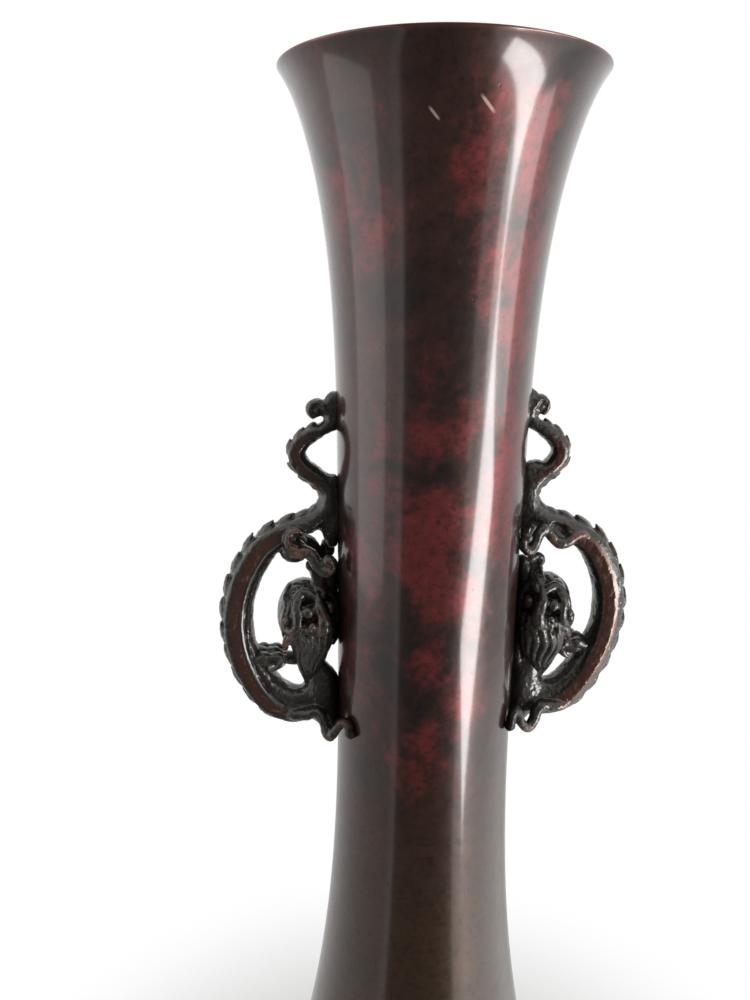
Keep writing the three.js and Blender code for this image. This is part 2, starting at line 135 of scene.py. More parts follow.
def neck_profile():
    below = np.linspace(ROOT_HEIGHT, WAIST_HEIGHT, BELOW_WAIST)[:-1]
    # The rows crowd together towards the rim
    above = VASE_HEIGHT - (VASE_HEIGHT - WAIST_HEIGHT) * np.linspace(1, 0, ABOVE_WAIST) ** 1.5
    above = [z for z in above if z < VASE_HEIGHT - RIM_CLEARANCE] + [VASE_HEIGHT]
    heights = [*below, *above]
    root = neck_inside(ROOT_HEIGHT)
    outside = [(neck_radius(z), z) for z in heights]
    inside = [(neck_inside(z), z) for z in reversed(heights)]
    spigot_end = ROOT_HEIGHT - SPIGOT_LENGTH
    spigot = root + SPIGOT_WALL
    return [*outside, *inside, (root, spigot_end), (spigot, spigot_end), (spigot, ROOT_HEIGHT)]


def body_outside():
    """The bowl from the foot to the belly and the shoulder from there to the neck, each one cubic curve
    whose inner corners stand at shares of its rise and reach."""
    low_rise, high_rise = BELLY_HEIGHT - FOOT_HEIGHT, ROOT_HEIGHT - BELLY_HEIGHT
    bowl = BELLY_RADIUS - FOOT_TOP_RADIUS
    shoulder = BELLY_RADIUS - ROOT_RADIUS
    lower = bezier(
        [
            (FOOT_TOP_RADIUS, FOOT_HEIGHT),
            (FOOT_TOP_RADIUS + 0.52 * bowl, FOOT_HEIGHT + 0.12 * low_rise),
            (BELLY_RADIUS, BELLY_HEIGHT - 0.56 * low_rise),
            (BELLY_RADIUS, BELLY_HEIGHT),
        ],
        22,
    )
    upper = bezier(
        [
            (BELLY_RADIUS, BELLY_HEIGHT),
            (BELLY_RADIUS, BELLY_HEIGHT + 0.5 * high_rise),
            (ROOT_RADIUS + 0.27 * shoulder, ROOT_HEIGHT - 0.44 * high_rise),
            (ROOT_RADIUS, ROOT_HEIGHT),
        ],
        26,
    )
    return lower[:-1] + upper


def body_profile():
    outside = body_outside()
    socket = neck_inside(ROOT_HEIGHT) + SPIGOT_WALL + SEAT_GAP
    socket_end = ROOT_HEIGHT - SPIGOT_LENGTH - 2 * SEAT_GAP
    floor = FOOT_HEIGHT + BODY_WALL
    hollow = [(r, z) for r, z in offset_inwards(outside, BODY_WALL) if r > socket and floor < z < socket_end]
    return [
        *outside,
        (socket, ROOT_HEIGHT),
        (socket, socket_end),
        *reversed(hollow),
        (BODY_OPENING_RADIUS, floor),
        (BODY_OPENING_RADIUS, FOOT_HEIGHT),
    ]


PLATE_TOP = FOOT_HEIGHT - SEAT_GAP
LEDGE_TOP = PLATE_TOP - BASE_PLATE - SEAT_GAP
PLATE_SEAT = BODY_OPENING_RADIUS + LEDGE_WIDTH


def foot_profile():
    cove_height = FOOT_EDGE + 0.35 * (FOOT_HEIGHT - FOOT_EDGE)
    cove = bezier(
        [
            (FOOT_RADIUS, FOOT_EDGE),
            (FOOT_RADIUS, cove_height),
            (FOOT_TOP_RADIUS, cove_height),
            (FOOT_TOP_RADIUS, FOOT_HEIGHT),
        ],
        14,
    )
    return [
        (FOOT_RADIUS - FOOT_RIM, 0),
        (FOOT_RADIUS, 0),
        *cove,
        (PLATE_SEAT, FOOT_HEIGHT),
        (PLATE_SEAT, LEDGE_TOP),
        (BODY_OPENING_RADIUS, LEDGE_TOP),
        (BODY_OPENING_RADIUS, LEDGE_TOP - LEDGE_THICKNESS),
    ]


def plate_profile():
    radius = PLATE_SEAT - SEAT_GAP
    low = PLATE_TOP - BASE_PLATE
    return [(0, low), (radius, low), (radius, PLATE_TOP), (0, PLATE_TOP)]


def mesh_of(bm, name):
    """The bmesh's shape as a mesh, the bmesh itself being done with."""
    mesh = bpy.data.meshes.new(name)
    bm.to_mesh(mesh)
    bm.free()
    return mesh


def store(mesh, name, values):
    mesh.attributes.new(name, "FLOAT", "POINT").data.foreach_set("value", np.array(values, np.float32))


def turned(profile, steps=ROUND):
    """A profile turned about Z. It is closed, or it starts and ends on the axis."""
    bm = bmesh.new()
    corners = [bm.verts.new((r, 0, z)) for r, z in profile]
    pairs = list(zip(corners, corners[1:]))
    if profile[0][0] > 0:
        pairs.append((corners[-1], corners[0]))
    edges = [bm.edges.new(pair) for pair in pairs]
    full = {"angle": 2 * math.pi, "steps": steps, "use_merge": True, "use_duplicate": False}
    bmesh.ops.spin(bm, geom=corners + edges, cent=(0, 0, 0), axis=(0, 0, 1), dvec=(0, 0, 0), **full)
    bmesh.ops.remove_doubles(bm, verts=bm.verts, dist=1e-4)
    bmesh.ops.recalc_face_normals(bm, faces=bm.faces)
    return bm


SAME = 0.01  # millimetres between places that count as one


def rounded(bm, corners, width):
    """Rounds the circular edges that run through corners of the profile."""
    edges = []
    for e in bm.edges:
        ends = [(math.hypot(v.co.x, v.co.y), v.co.z) for v in e.verts]
        if any(all(abs(a - r) < SAME and abs(b - z) < SAME for a, b in ends) for r, z in corners):
            edges.append(e)
    soft = {"segments": 4, "profile": 0.5, "affect": "EDGES", "material": -1, "clamp_overlap": True}
    bmesh.ops.bevel(bm, geom=edges, offset=width, **soft)


# Materials


def colour(hex_code):
    """An sRGB hex colour as Blender's linear one."""
    channels = [int(hex_code[i : i + 2], 16) / 255 for i in (1, 3, 5)]
    return (*(c / 12.92 if c <= 0.04045 else ((c + 0.055) / 1.055) ** 2.4 for c in channels), 1)


def feed(tree, node, inputs):
    """Gives a node its inputs, each a value or another node's output."""
    for key, value in inputs.items():
        if isinstance(value, bpy.types.NodeSocket):
            tree.links.new(value, node.inputs[key])
        else:
            node.inputs[key].default_value = value


def add(tree, kind, inputs=None, **settings):
    """Adds a shader node with its settings and inputs."""
    node = tree.nodes.new("ShaderNode" + kind)
    for name, value in settings.items():
        setattr(node, name, value)
    feed(tree, node, inputs or {})
    return node


def new_material(name):
    material = bpy.data.materials.new(name)
    material.use_nodes = True
    tree = material.node_tree
    tree.nodes.clear()
    shader = add(tree, "BsdfPrincipled")
    output = add(tree, "OutputMaterial")
    tree.links.new(shader.outputs["BSDF"], output.inputs["Surface"])
    return material, tree, shader


def scratch(tree, place, centre, along, half, width):
    """A mask for a short straight scratch with a middle, a direction, half a length and half a width."""
    away = add(tree, "VectorMath", {0: place, 1: centre}, operation="SUBTRACT").outputs[0]
    run = add(tree, "VectorMath", {0: away, 1: along}, operation="DOT_PRODUCT").outputs["Value"]
    length = add(tree, "Math", {0: run}, operation="ABSOLUTE").outputs[0]
    beside = add(tree, "VectorMath", {0: away, 1: along}, operation="CROSS_PRODUCT").outputs[0]
    off = add(tree, "VectorMath", {0: beside}, operation="LENGTH").outputs["Value"]
    inside = []
    for value, most in ((length, half), (off, width)):
        fade = {"Value": value, "From Min": most / 2, "From Max": most, "To Min": 1, "To Max": 0}
        inside.append(add(tree, "MapRange", fade).outputs[0])
    return add(tree, "Math", {0: inside[0], 1: inside[1]}, operation="MULTIPLY").outputs[0]


# The two scratches below the rim: [middle, direction, half length, half width], in metres
SCRATCHES = [
    ((0.0061, -0.0459, 0.4918), (0.69, 0.25, -0.68), 0.0036, 0.0006),
    ((-0.0090, -0.0446, 0.4890), (0.66, 0.0, -0.75), 0.0026, 0.0005),
]


def patinated_bronze():
    """Cast bronze turned black by its patina, with clouds of red copper oxide in it, waxed and rubbed to
    a gloss: the red shows through the black in soft-edged patches, under a clear untinted shine."""
    material, tree, shader = new_material("waxed_red_and_black_bronze_patina")
    place = add(tree, "TexCoord").outputs["Object"]
    height = add(tree, "SeparateXYZ", {0: place}).outputs["Z"]
    redness = add(tree, "Attribute", attribute_name="redness").outputs["Fac"]
    # Clouds 26 mm across, mottling of 6.5 mm and specks of 2.6 mm
    clouds, mottle, specks = (
        add(tree, "TexNoise", {"Vector": place, **grain}).outputs["Fac"]
        for grain in (
            {"Scale": 1 / 0.026, "Detail": 8, "Roughness": 0.68, "Distortion": 0.6},
            {"Scale": 1 / 0.0065, "Detail": 6, "Roughness": 0.68},
            {"Scale": 1 / 0.0026, "Detail": 5, "Roughness": 0.7},
        )
    )
    weighed = add(tree, "Math", {0: clouds, 1: 1.25, 2: redness}, operation="MULTIPLY_ADD").outputs[0]
    broken = add(tree, "Math", {0: mottle, 1: 0.9, 2: weighed}, operation="MULTIPLY_ADD").outputs[0]
    # Each runs from one value to the next of what it reads, between two strengths
    red, low, brown, speck, lip, rough = (
        add(
            tree, "MapRange", {0: value, 1: start, 2: end, 3: first, 4: last},
            interpolation_type=kind,
        ).outputs[0]
        for value, start, end, first, last, kind in (
            (broken, 1.24, 1.78, 0, 0.85, "SMOOTHSTEP"),
            (height, 0.20, 0.29, 0.7, 0, "SMOOTHSTEP"),
            (clouds, 0.36, 0.64, 0, 1, "LINEAR"),
            (specks, 0.5, 0.68, 0, 0.6, "LINEAR"),
            (height, 0.5085, 0.5099, 0, 0.42, "LINEAR"),
            (mottle, 0.3, 0.7, 0.26, 0.4, "LINEAR"),
        )
    )
    crimson = {0: mottle, 6: colour("#58221f"), 7: colour("#8a3034")}
    layers = [
        (brown, colour("#472a22")),
        # A warmer brown painted low on the vase, full below 0.20 m and gone at 0.29 m: a painted warm tint of
        # its reflections there
        (low, colour("#412f1e")),
        (red, add(tree, "Mix", crimson, data_type="RGBA").outputs[2]),
        (speck, colour("#17100f")),
        (lip, colour("#8a4a3c")),
    ]
    layers += [(scratch(tree, place, *mark), colour("#b89c94")) for mark in SCRATCHES]
    base = colour("#281c19")
    for mask, over in layers:
        base = add(tree, "Mix", {0: mask, 6: base, 7: over}, data_type="RGBA").outputs[2]
    # Casting pits 9 mm apart, and the slight ripple that a scraper and rubbing leave
    pits = add(tree, "TexVoronoi", {"Vector": place, "Scale": 1 / 0.009}).outputs["Distance"]
    pit = add(
        tree, "MapRange", {"Value": pits, "From Min": 0.02, "From Max": 0.075},
        interpolation_type="SMOOTHSTEP",
    ).outputs[0]
    ripple = add(tree, "TexNoise", {"Vector": place, "Scale": 1 / 0.016, "Detail": 3}).outputs["Fac"]
    pitted = add(tree, "Bump", {"Height": pit, "Strength": 0.25, "Distance": 0.0002}).outputs[0]
    rippled = {"Height": ripple, "Strength": 0.5, "Distance": 0.0006, "Normal": pitted}
    bump = add(tree, "Bump", rippled).outputs[0]
    feed(tree, shader, {"Base Color": base, "Roughness": rough, "Normal": bump})
    feed(tree, shader, {"Metallic": 0.5, "Coat Weight": 1, "Coat Roughness": 0.11})
    return material


def rubbed_bronze():
    """Cast bronze with a black-brown patina, rubbed through to coppery metal on its high points, with a
    painted highlight on the heads' noses and a painted near-black shade beside the wall and in the strap's
    hollow.
    """
    material, tree, shader = new_material("rubbed_black_brown_bronze_patina")
    place = add(tree, "TexCoord").outputs["Object"]
    # Mottling of 5 mm and the sand's grain of 1.4 mm
    mottle, grain = (
        add(tree, "TexNoise", {"Vector": place, **size}).outputs["Fac"]
        for size in (
            {"Scale": 1 / 0.005, "Detail": 5, "Roughness": 0.6},
            {"Scale": 1 / 0.0014, "Detail": 4, "Roughness": 0.65},
        )
    )
    band, relief, rubbed, polish, painted_shade = (
        add(tree, "Attribute", attribute_name=name).outputs["Fac"]
        for name in ("band", "relief", "rubbed", "polish", "painted_shade")
    )
    # The rubbed attribute holds worn copper spots and, on the heads' noses, a painted highlight
    scuffed = add(tree, "Math", {0: mottle, 1: 0.25, 2: relief}, operation="MULTIPLY_ADD").outputs[0]
    worn_and_highlit = add(tree, "Math", {0: rubbed, 1: 0.26, 2: scuffed}, operation="MULTIPLY_ADD").outputs[0]
    wear_and_highlight = add(
        tree, "MapRange", {"Value": worn_and_highlit, "From Min": 0.32, "From Max": 0.62, "To Max": 0.75},
        interpolation_type="SMOOTHSTEP",
    ).outputs[0]
    # Painted shade: the patina turns near-black beside the wall and in the strap's hollow
    painted_shade_share = add(tree, "Math", {0: painted_shade, 1: 0.85}, operation="MULTIPLY").outputs[0]
    layers = [
        (mottle, colour("#38342b")),
        (band, colour("#4c2c22")),
        (wear_and_highlight, colour("#8a5a48")),
        (painted_shade_share, colour("#0e0c0b")),
    ]
    base = colour("#171512")
    for mask, over in layers:
        base = add(tree, "Mix", {0: mask, 6: base, 7: over}, data_type="RGBA").outputs[2]
    # The wax is thin on bared metal and on the painted highlight, the coat and the specular are turned down
    # in the painted shade, and worn metal is smooth
    worn = add(tree, "Math", {0: polish, 1: band}, operation="MAXIMUM").outputs[0]
    waxed, coat_out_of_shade, specular, rugged = (
        add(tree, "MapRange", {"Value": value, "To Min": first, "To Max": last}).outputs[0]
        for value, first, last in ((wear_and_highlight, 1, 0.35), (painted_shade, 1, 0.08), (painted_shade, 0.5, 0.12), (worn, 1, 0.14))
    )
    coat = add(tree, "Math", {0: coat_out_of_shade, 1: waxed}, operation="MULTIPLY").outputs[0]
    rough = add(
        tree, "MapRange",
        {"Value": mottle, "From Min": 0.3, "From Max": 0.7, "To Min": 0.3, "To Max": 0.5},
    ).outputs[0]
    bump = add(tree, "Bump", {"Height": grain, "Strength": rugged, "Distance": 0.0006}).outputs[0]
    feed(tree, shader, {"Base Color": base, "Roughness": rough, "Normal": bump, "Coat Weight": coat})
    feed(tree, shader, {"Specular IOR Level": specular, "Metallic": 0.5, "Coat Roughness": 0.12})
    return material


def raw_bronze():
    """Bronze left as it was cast, inside and under the vase: dull, dark brown and sandy."""
    material, tree, shader = new_material("bronze_as_cast")
    place = add(tree, "TexCoord").outputs["Object"]
    mottle, grain = (
        add(tree, "TexNoise", {"Vector": place, "Scale": 1 / size, "Detail": detail}).outputs["Fac"]
        for size, detail in ((0.007, 6), (0.0012, 3))
    )
    browns = {0: mottle, 6: colour("#231b17"), 7: colour("#4a3a2e")}
    base = add(tree, "Mix", browns, data_type="RGBA").outputs[2]
    bump = add(tree, "Bump", {"Height": grain, "Strength": 0.5, "Distance": 0.0003}).outputs[0]
    feed(tree, shader, {"Base Color": base, "Normal": bump, "Metallic": 0.6, "Roughness": 0.6})
    return material


PATINA = patinated_bronze()
RUBBED = rubbed_bronze()
RAW = raw_bronze()


def finished(name, mesh, material, node):
    """Puts a mesh in millimetres into the scene as a piece that stands for its CAD node."""
    mesh.transform(Matrix.Scale(MM, 4))
    mesh.shade_smooth()
    mesh.materials.clear()
    mesh.materials.append(material)
    piece = bpy.data.objects.new(name, mesh)
    bpy.context.scene.collection.objects.link(piece)
    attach(piece, "root")
    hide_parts(node)


# Where the red clouds gather: [degrees round from +X, height, half width, half height, strength]
RED_CLOUDS = [
    (-98, 414, 10, 14, 0.40), (-99, 393, 9, 14, 0.55), (-97, 357, 15, 24, 0.85), (-97, 313, 9, 14, 0.70),
    (-97, 280, 11, 19, 0.5), (-78, 299, 9, 26, 0.45), (-79, 399, 9, 24, 0.40), (-79, 350, 9, 26, 0.40),
    (-81, 479, 9, 17, 0.65), (-70, 450, 12, 19, 0.58), (-56, 478, 9, 26, 0.68), (-50, 442, 11, 32, 0.78),
    (-49, 377, 11, 38, 0.75), (-139, 468, 18, 28, 0.55), (-122, 448, 9, 20, 0.3), (-128, 381, 9, 26, 0.36),
    (-140, 330, 14, 50, 0.36), (60, 400, 18, 40, 0.6), (120, 300, 16, 40, 0.6), (20, 230, 16, 30, 0.45),
    (175, 420, 16, 34, 0.45),
]  # fmt: skip


def store_redness(mesh):
    """Stores at each point how strongly the red clouds gather there."""
    values = []
    for v in mesh.vertices:
        angle = math.atan2(v.co.y, v.co.x)
        radius = math.hypot(v.co.x, v.co.y) / MM
        most = 0
        for degrees, height, wide, tall, strength in RED_CLOUDS:
            turn = (angle - math.radians(degrees) + math.pi) % (2 * math.pi) - math.pi
            away = (turn * radius / wide) ** 2 + ((v.co.z / MM - height) / tall) ** 2
            most = max(most, strength * math.exp(-away))
        values.append(most)
    store(mesh, "redness", values)


SHARP = math.radians(38)  # an edge that turns further isn't smoothed over
RIM = [(RIM_RADIUS, VASE_HEIGHT), (neck_inside(VASE_HEIGHT), VASE_HEIGHT)]
FOOT_EDGES = [(FOOT_RADIUS, 0), (FOOT_RADIUS - FOOT_RIM, 0), (FOOT_RADIUS, FOOT_EDGE)]
for name, profile, corners, width, material, slot, node in (
    ("trumpet_neck", neck_profile(), RIM, 0.9, PATINA, "vessel_bronze", "neck"),
    ("round_body", body_profile(), [(ROOT_RADIUS, ROOT_HEIGHT)], 0.3, PATINA, "vessel_bronze", "body"),
    ("ring_foot", foot_profile(), FOOT_EDGES, 0.6, PATINA, "vessel_bronze", "foot_ring"),
    ("bottom_plate", plate_profile(), [], 0.3, RAW, "inner_bronze", "base_plate"),
):
    bm = turned(profile)
    rounded(bm, corners, width)
    mesh = mesh_of(bm, name)
    mesh.set_sharp_from_angle(angle=SHARP)
    finished(name, mesh, material, node)
    if material is PATINA:
        store_redness(mesh)

# Handles. A place on one is [distance from the neck's face, sideways, height above the loop's middle].
# The front of the vase is at -Y, so on the right handle a negative sideways faces the viewer.

NECK_FACE = neck_radius(HANDLE_HEIGHT)
TAIL_BEND = 40
# The spine's full-grown leaves: their pitch, half length as a share of it, half width, half height and
# the rise of the tip, and the half width of the body that carries them
SPINE_PITCH = 8.2
LEAF_LENGTH, LEAF_WIDTH, LEAF_HEIGHT, LEAF_RISE = 0.66, 3.9, 1.5, 1.75
FULL_GROWN = 5.4
LEAF_SEAT, LEAF_SUNK = 0.96, 0.4  # its root lies at this share of the body's half width, less so much
LEAF_NARROWS, LEAF_ROOF = 0.55, 0.45  # what it loses towards its point and towards its two edges
HANDLE_SKIN = 0.42  # voxel of the dragon's body, in millimetres
HEAD_SKIN = 0.3

# Each station of the dragon is [distance, height, half width in the plane, half width sideways, squareness]
CURL_CENTRE = (6.8, 77.8)
CURL = [
    (
        CURL_CENTRE[0] + 2.7 * math.cos(math.radians(a)),
        CURL_CENTRE[1] + 2.7 * math.sin(math.radians(a)),
        1.15 + 0.1 * i,
        2.4 + 0.2 * i,
        0,
    )
    for i, a in enumerate((-80, -35, 10, 55, 100, 150))
]
TAIL = [
    (2.4, 75.2, 1.9, 3.2, 0.2), (4.2, 71.8, 2.4, 3.5, 0.4), (9.0, 69.4, 2.8, 3.9, 0.6),
    (13.6, 66.2, 3.1, 4.2, 0.8), (15.8, 61.6, 3.3, 4.5, 0.9), (13.2, 57.0, 3.4, 4.8, 0.9),
    (8.2, 53.4, 3.4, 5.0, 0.8), (4.4, 49.4, 3.4, 5.2, 0.7), (3.4, 44.8, 3.2, 5.4, 0.6),
    (4.8, 40.4, 3.5, 5.7, 0.5), (9.2, 36.8, 3.9, 6.0, 0.4), (14.2, 34.6, 4.1, 6.2, 0.4),
]  # fmt: skip
LOOP = [
    (19.4, 32.4, 4.5, 6.5, 0.6), (24.8, 29.2, 4.9, 6.8, 1), (29.4, 24.6, 5.3, 7.0, 1),
    (34.2, 15.8, 5.5, 7.0, 1), (36.8, 7.0, 5.6, 7.0, 1), (37.6, -1.5, 5.6, 7.0, 1),
    (36.9, -9.5, 5.6, 7.0, 1), (35.1, -17.0, 5.5, 7.0, 1), (32.3, -24.0, 5.4, 7.0, 1),
    (28.8, -30.2, 5.3, 7.0, 1), (24.6, -35.2, 5.2, 7.0, 1), (19.6, -38.4, 5.0, 6.8, 0.8),
]  # fmt: skip
THROAT = [
    (14.2, -39.6, 4.7, 6.6, 0.4), (9.8, -38.2, 4.5, 6.2, 0.1), (7.8, -34.2, 4.3, 5.8, 0),
    (7.6, -29.6, 3.9, 5.4, 0), (7.6, -24.5, 3.2, 4.4, 0), (8.0, -20.0, 2.6, 3.4, 0),
    (8.6, -15.5, 2.6, 3.4, 0),
]  # fmt: skip
DRAGON = [*CURL, *TAIL, *LOOP, *THROAT]
FIRST_SPINED = len(CURL) + 2
LAST_SPINED = len(CURL) + len(TAIL) + len(LOOP) - 1

# Half of the strap's section on each handle, from the middle of its back round to its belly: [out of
# the back, sideways]. Below the back come a rim, a shallow band, a ridge, a hollow and the belly's roll.
STRAPS = {
    "right": [
        (1.00, 0.00), (0.99, 0.22), (0.96, 0.42), (0.90, 0.58), (0.79, 0.70), (0.64, 0.79), (0.48, 0.865),
        (0.36, 0.905), (0.22, 0.945), (0.14, 0.965), (0.06, 0.96), (-0.04, 0.95), (-0.16, 0.935),
        (-0.28, 0.92), (-0.40, 0.905), (-0.50, 0.89), (-0.58, 0.875), (-0.64, 0.84), (-0.69, 0.76),
        (-0.75, 0.70), (-0.82, 0.64), (-0.88, 0.54), (-0.94, 0.38), (-0.98, 0.20), (-1.00, 0.00),
    ],
    "left": [
        (1.00, 0.00), (0.99, 0.22), (0.97, 0.44), (0.94, 0.64), (0.88, 0.78), (0.80, 0.845), (0.70, 0.875),
        (0.60, 0.885), (0.52, 0.88), (0.44, 0.875), (0.34, 0.885), (0.22, 0.905), (0.10, 0.925),
        (-0.02, 0.95), (-0.12, 0.97), (-0.20, 0.98), (-0.28, 0.955), (-0.36, 0.915), (-0.44, 0.87),
        (-0.50, 0.77), (-0.58, 0.735), (-0.70, 0.70), (-0.84, 0.56), (-0.94, 0.34), (-1.00, 0.00),
    ],
}  # fmt: skip
STRAP_ROUND = 2 * (len(STRAPS["right"]) - 1)

# A second roll inside the loop's lower half: [distance, height, half width in the plane, sideways]
BELLY = [
    (35.4, 6.0, 2.0, 3.4), (35.2, -2.0, 2.8, 4.4), (34.2, -9.0, 3.2, 5.0), (31.8, -16.0, 3.7, 5.3),
    (28.4, -22.8, 4.1, 5.6), (24.6, -28.2, 4.3, 5.6), (20.4, -32.0, 4.4, 5.6), (15.6, -34.0, 4.4, 5.4),
    (11.0, -34.0, 4.2, 5.2),
]  # fmt: skip
# Metal that joins the dragon to the wall: beside the curl, behind the tail's root and at the chest
LUG = [
    (2.2, 69.6, 1.4, 2.4), (1.8, 73.6, 3.4, 3.0), (1.8, 78.0, 4.2, 3.2), (1.4, 81.6, 3.6, 3.0),
    (0.8, 84.4, 1.4, 2.0),
]  # fmt: skip
WEB = [
    (2.6, 50.0, 3.8, 4.0), (2.2, 46.0, 3.8, 4.2), (1.6, 40.0, 3.8, 4.4), (2.4, 34.0, 4.2, 4.2),
    (2.4, 29.6, 3.0, 3.4), (1.6, 26.4, 1.4, 2.0),
]  # fmt: skip
CHEST = [
    (1.6, -49.0, 2.0, 2.4), (3.2, -44.0, 5.2, 4.8), (5.4, -38.0, 7.4, 6.4), (6.0, -33.0, 8.0, 6.4),
    (6.4, -28.0, 7.2, 5.8), (7.6, -23.6, 5.0, 4.8), (8.6, -19.0, 3.0, 3.6),
]  # fmt: skip

# Where these run into one another smoothly: [distance, height, radius]
BLENDED = [(8, -34, 15), (17, -33, 10), (4, 50, 10), (5, 38, 10), (35, 2, 8), (3, 6, 10), (3, 72, 6)]
# The back of the head, where it runs into the wall below the crest
NAPE = [
    (2.0, 22.0, 1.0, 1.6), (2.6, 19.0, 3.0, 3.0), (3.4, 13.0, 3.6, 4.0), (2.6, 6.0, 3.0, 4.4),
    (2.0, -2.0, 2.6, 4.4), (2.0, -9.0, 2.4, 3.6),
]  # fmt: skip

# The curl's solid middle, a broad bead and a narrow one that stands out of it, by their half widths
BOSS = [(3.0, 2.2, 3.0), (1.5, 3.0, 1.5)]
HAUNCH, HAUNCH_HALF = (16.6, 3.6, 28.4), (5.4, 3.6, 4.6)  # its bead's place and half widths
RIBBON_SWELL, RIBBON_FLAT, RIBBON_TIP = 0.25, 1.1, 1.2  # added to a radius, and shares of it
HOLES = {"hole": (3.0, 3.2), "lower_hole": (2.7, 3.0)}  # a curl's hollow: its half width and depth

# What differs between the two handles. lean, pull, stretch, lift and curl_out shift the tail and the
# haunch. band, polished and hollow are ranges across the strap, from the belly at -1 to the back at 1, and
# the hollow gets painted shade. look is the head's turn in degrees, plate how far forward its smooth back
# reaches, drop its height and beard the width of the beard's tip. reach, raised and paw_height place the
# paw. Wear, with the painted highlight on the head's nose, is in shares. A ribbon's points and the rubbed
# spots are [distance, sideways, height, radius].
HANDWORK = {
    "right": {
        "lean": 0.0012,
        "pull": 0.007,
        "stretch": 0.045,
        "lift": 2.4,
        "curl_out": 0.4,
        "band": (-0.60, 0.13),
        "edge_wear": 1.15,
        "face_wear_and_highlight": 1.0,
        "polished": (0.12, 0.46),
        "hollow": (-0.95, -0.68),
        "roll": 0.0,
        "web_top": [(8.6, 56.6, 1.6, 3.0), (5.4, 55.8, 2.9, 4.2), (2.6, 54.2, 3.3, 4.2)],
        "nape_end": [(2.2, -15.0, 2.5, 3.2), (2.4, -22.0, 2.8, 3.4), (3.0, -28.0, 2.0, 3.0)],
        "look": 66,
        "plate": 0.0,
        "drop": 0,
        "beard": 0.94,
        "reach": -3.8,
        "raised": 2.0,
        "paw_height": 0.86,
        "hole": [(13.2, 7.4, 34.9), (14.6, 7.4, 34.7), (16.2, 7.4, 34.2)],
        "lower_hole": [(12.9, 7.2, -42.4)],
        "upper_ribbon": [
            (25.0, 5.6, 31.0, 1.0), (23.1, 6.8, 32.0, 1.4), (20.5, 7.2, 31.3, 1.6), (18.0, 7.4, 29.7, 1.8),
            (15.4, 7.6, 28.8, 1.9), (12.6, 7.6, 29.9, 1.8), (10.0, 7.6, 33.0, 1.7), (7.8, 7.8, 34.6, 1.9),
            (5.8, 8.4, 32.8, 1.9), (4.5, 9.2, 29.6, 1.9), (2.4, 10.6, 27.0, 1.9), (0.1, 11.8, 28.4, 1.7),
            (-0.9, 12.4, 31.2, 1.4), (0.6, 12.4, 32.6, 1.5),
        ],
        "lower_ribbon": [
            (23.5, 4.4, -37.4, 1.4), (20.5, 5.8, -38.6, 1.8), (17.4, 6.4, -38.8, 2.0),
            (14.2, 6.8, -38.2, 2.0), (11.4, 7.2, -38.2, 2.2), (9.6, 7.8, -40.2, 2.2),
            (8.6, 8.6, -43.2, 1.9), (6.1, 10.0, -46.0, 1.7), (2.8, 12.0, -42.6, 1.6),
            (0.4, 14.4, -36.6, 1.6), (-1.6, 16.4, -35.0, 1.6), (-3.1, 18.1, -37.0, 1.6),
            (-3.6, 18.7, -39.8, 1.6),
        ],
        "rubbed": [(11.4, 8, 30.0, 3), (3.0, 11, 24.4, 3), (6.0, 11, -46.0, 3), (20, 7, 31.5, 4)],
    },
    "left": {
        "lean": -0.0006,
        "pull": 0,
        "stretch": 0,
        "lift": -2.4,
        "curl_out": 1.5,
        "band": (-0.12, 0.5),
        "edge_wear": 0.0,
        "face_wear_and_highlight": 1.7,
        "polished": (-0.47, -0.14),
        "hollow": (-0.64, -0.46),
        "roll": 0.9,
        "nape_end": [(2.4, -13.0, 1.0, 1.6)],
        "web_top": [(0.4, 54.4, 0.8, 2.0), (1.6, 52.4, 2.4, 3.4)],
        "look": -62,
        "plate": 2.6,
        "drop": -1.0,
        "beard": 0.78,
        "reach": 0.0,
        "raised": 0.0,
        "paw_height": 0.76,
        "hole": [(14.6, 7.6, 31.2), (16.0, 7.6, 31.4)],
        "lower_hole": [(13.4, 7.2, -43.2)],
        "upper_ribbon": [
            (13.4, 6.6, 33.6, 0.7), (15.6, 7.0, 34.4, 1.1), (18.2, 6.8, 32.0, 1.7), (17.6, 6.8, 28.6, 2.2),
            (14.8, 7.0, 26.6, 2.5), (11.8, 7.4, 26.6, 2.2), (9.6, 8.0, 25.0, 2.0), (8.0, 8.8, 22.0, 2.0),
            (5.8, 9.6, 19.8, 1.9), (3.4, 10.4, 20.4, 1.7), (2.4, 10.8, 22.8, 1.5), (3.8, 10.8, 24.1, 1.9),
        ],
        "lower_ribbon": [
            (19.5, 4.4, -38.4, 1.6), (17.0, 5.6, -39.6, 2.0), (14.5, 6.2, -39.4, 2.0),
            (12.0, 6.6, -39.0, 2.2), (8.8, 7.4, -37.8, 2.1), (6.6, 8.4, -39.6, 1.9),
            (5.3, 9.2, -42.6, 1.8), (4.5, 10.0, -45.4, 1.8), (3.2, 11.0, -46.6, 1.7),
            (1.4, 12.4, -43.2, 1.6), (-1.2, 14.6, -38.6, 1.6), (-3.2, 17.0, -38.0, 1.6),
            (-4.1, 18.6, -41.2, 1.6),
        ],
        "rubbed": [
            (14.8, 9, 26.0, 4.5), (3.4, 11, 22.0, 3), (4.6, 10, 17.2, 3), (-2.4, 17, -37.4, 4),
            (3.6, 11, -47, 3),
        ],
    },
}  # fmt: skip


def place(d, y, h):
    return Vector((NECK_FACE + d, y, HANDLE_HEIGHT + h))


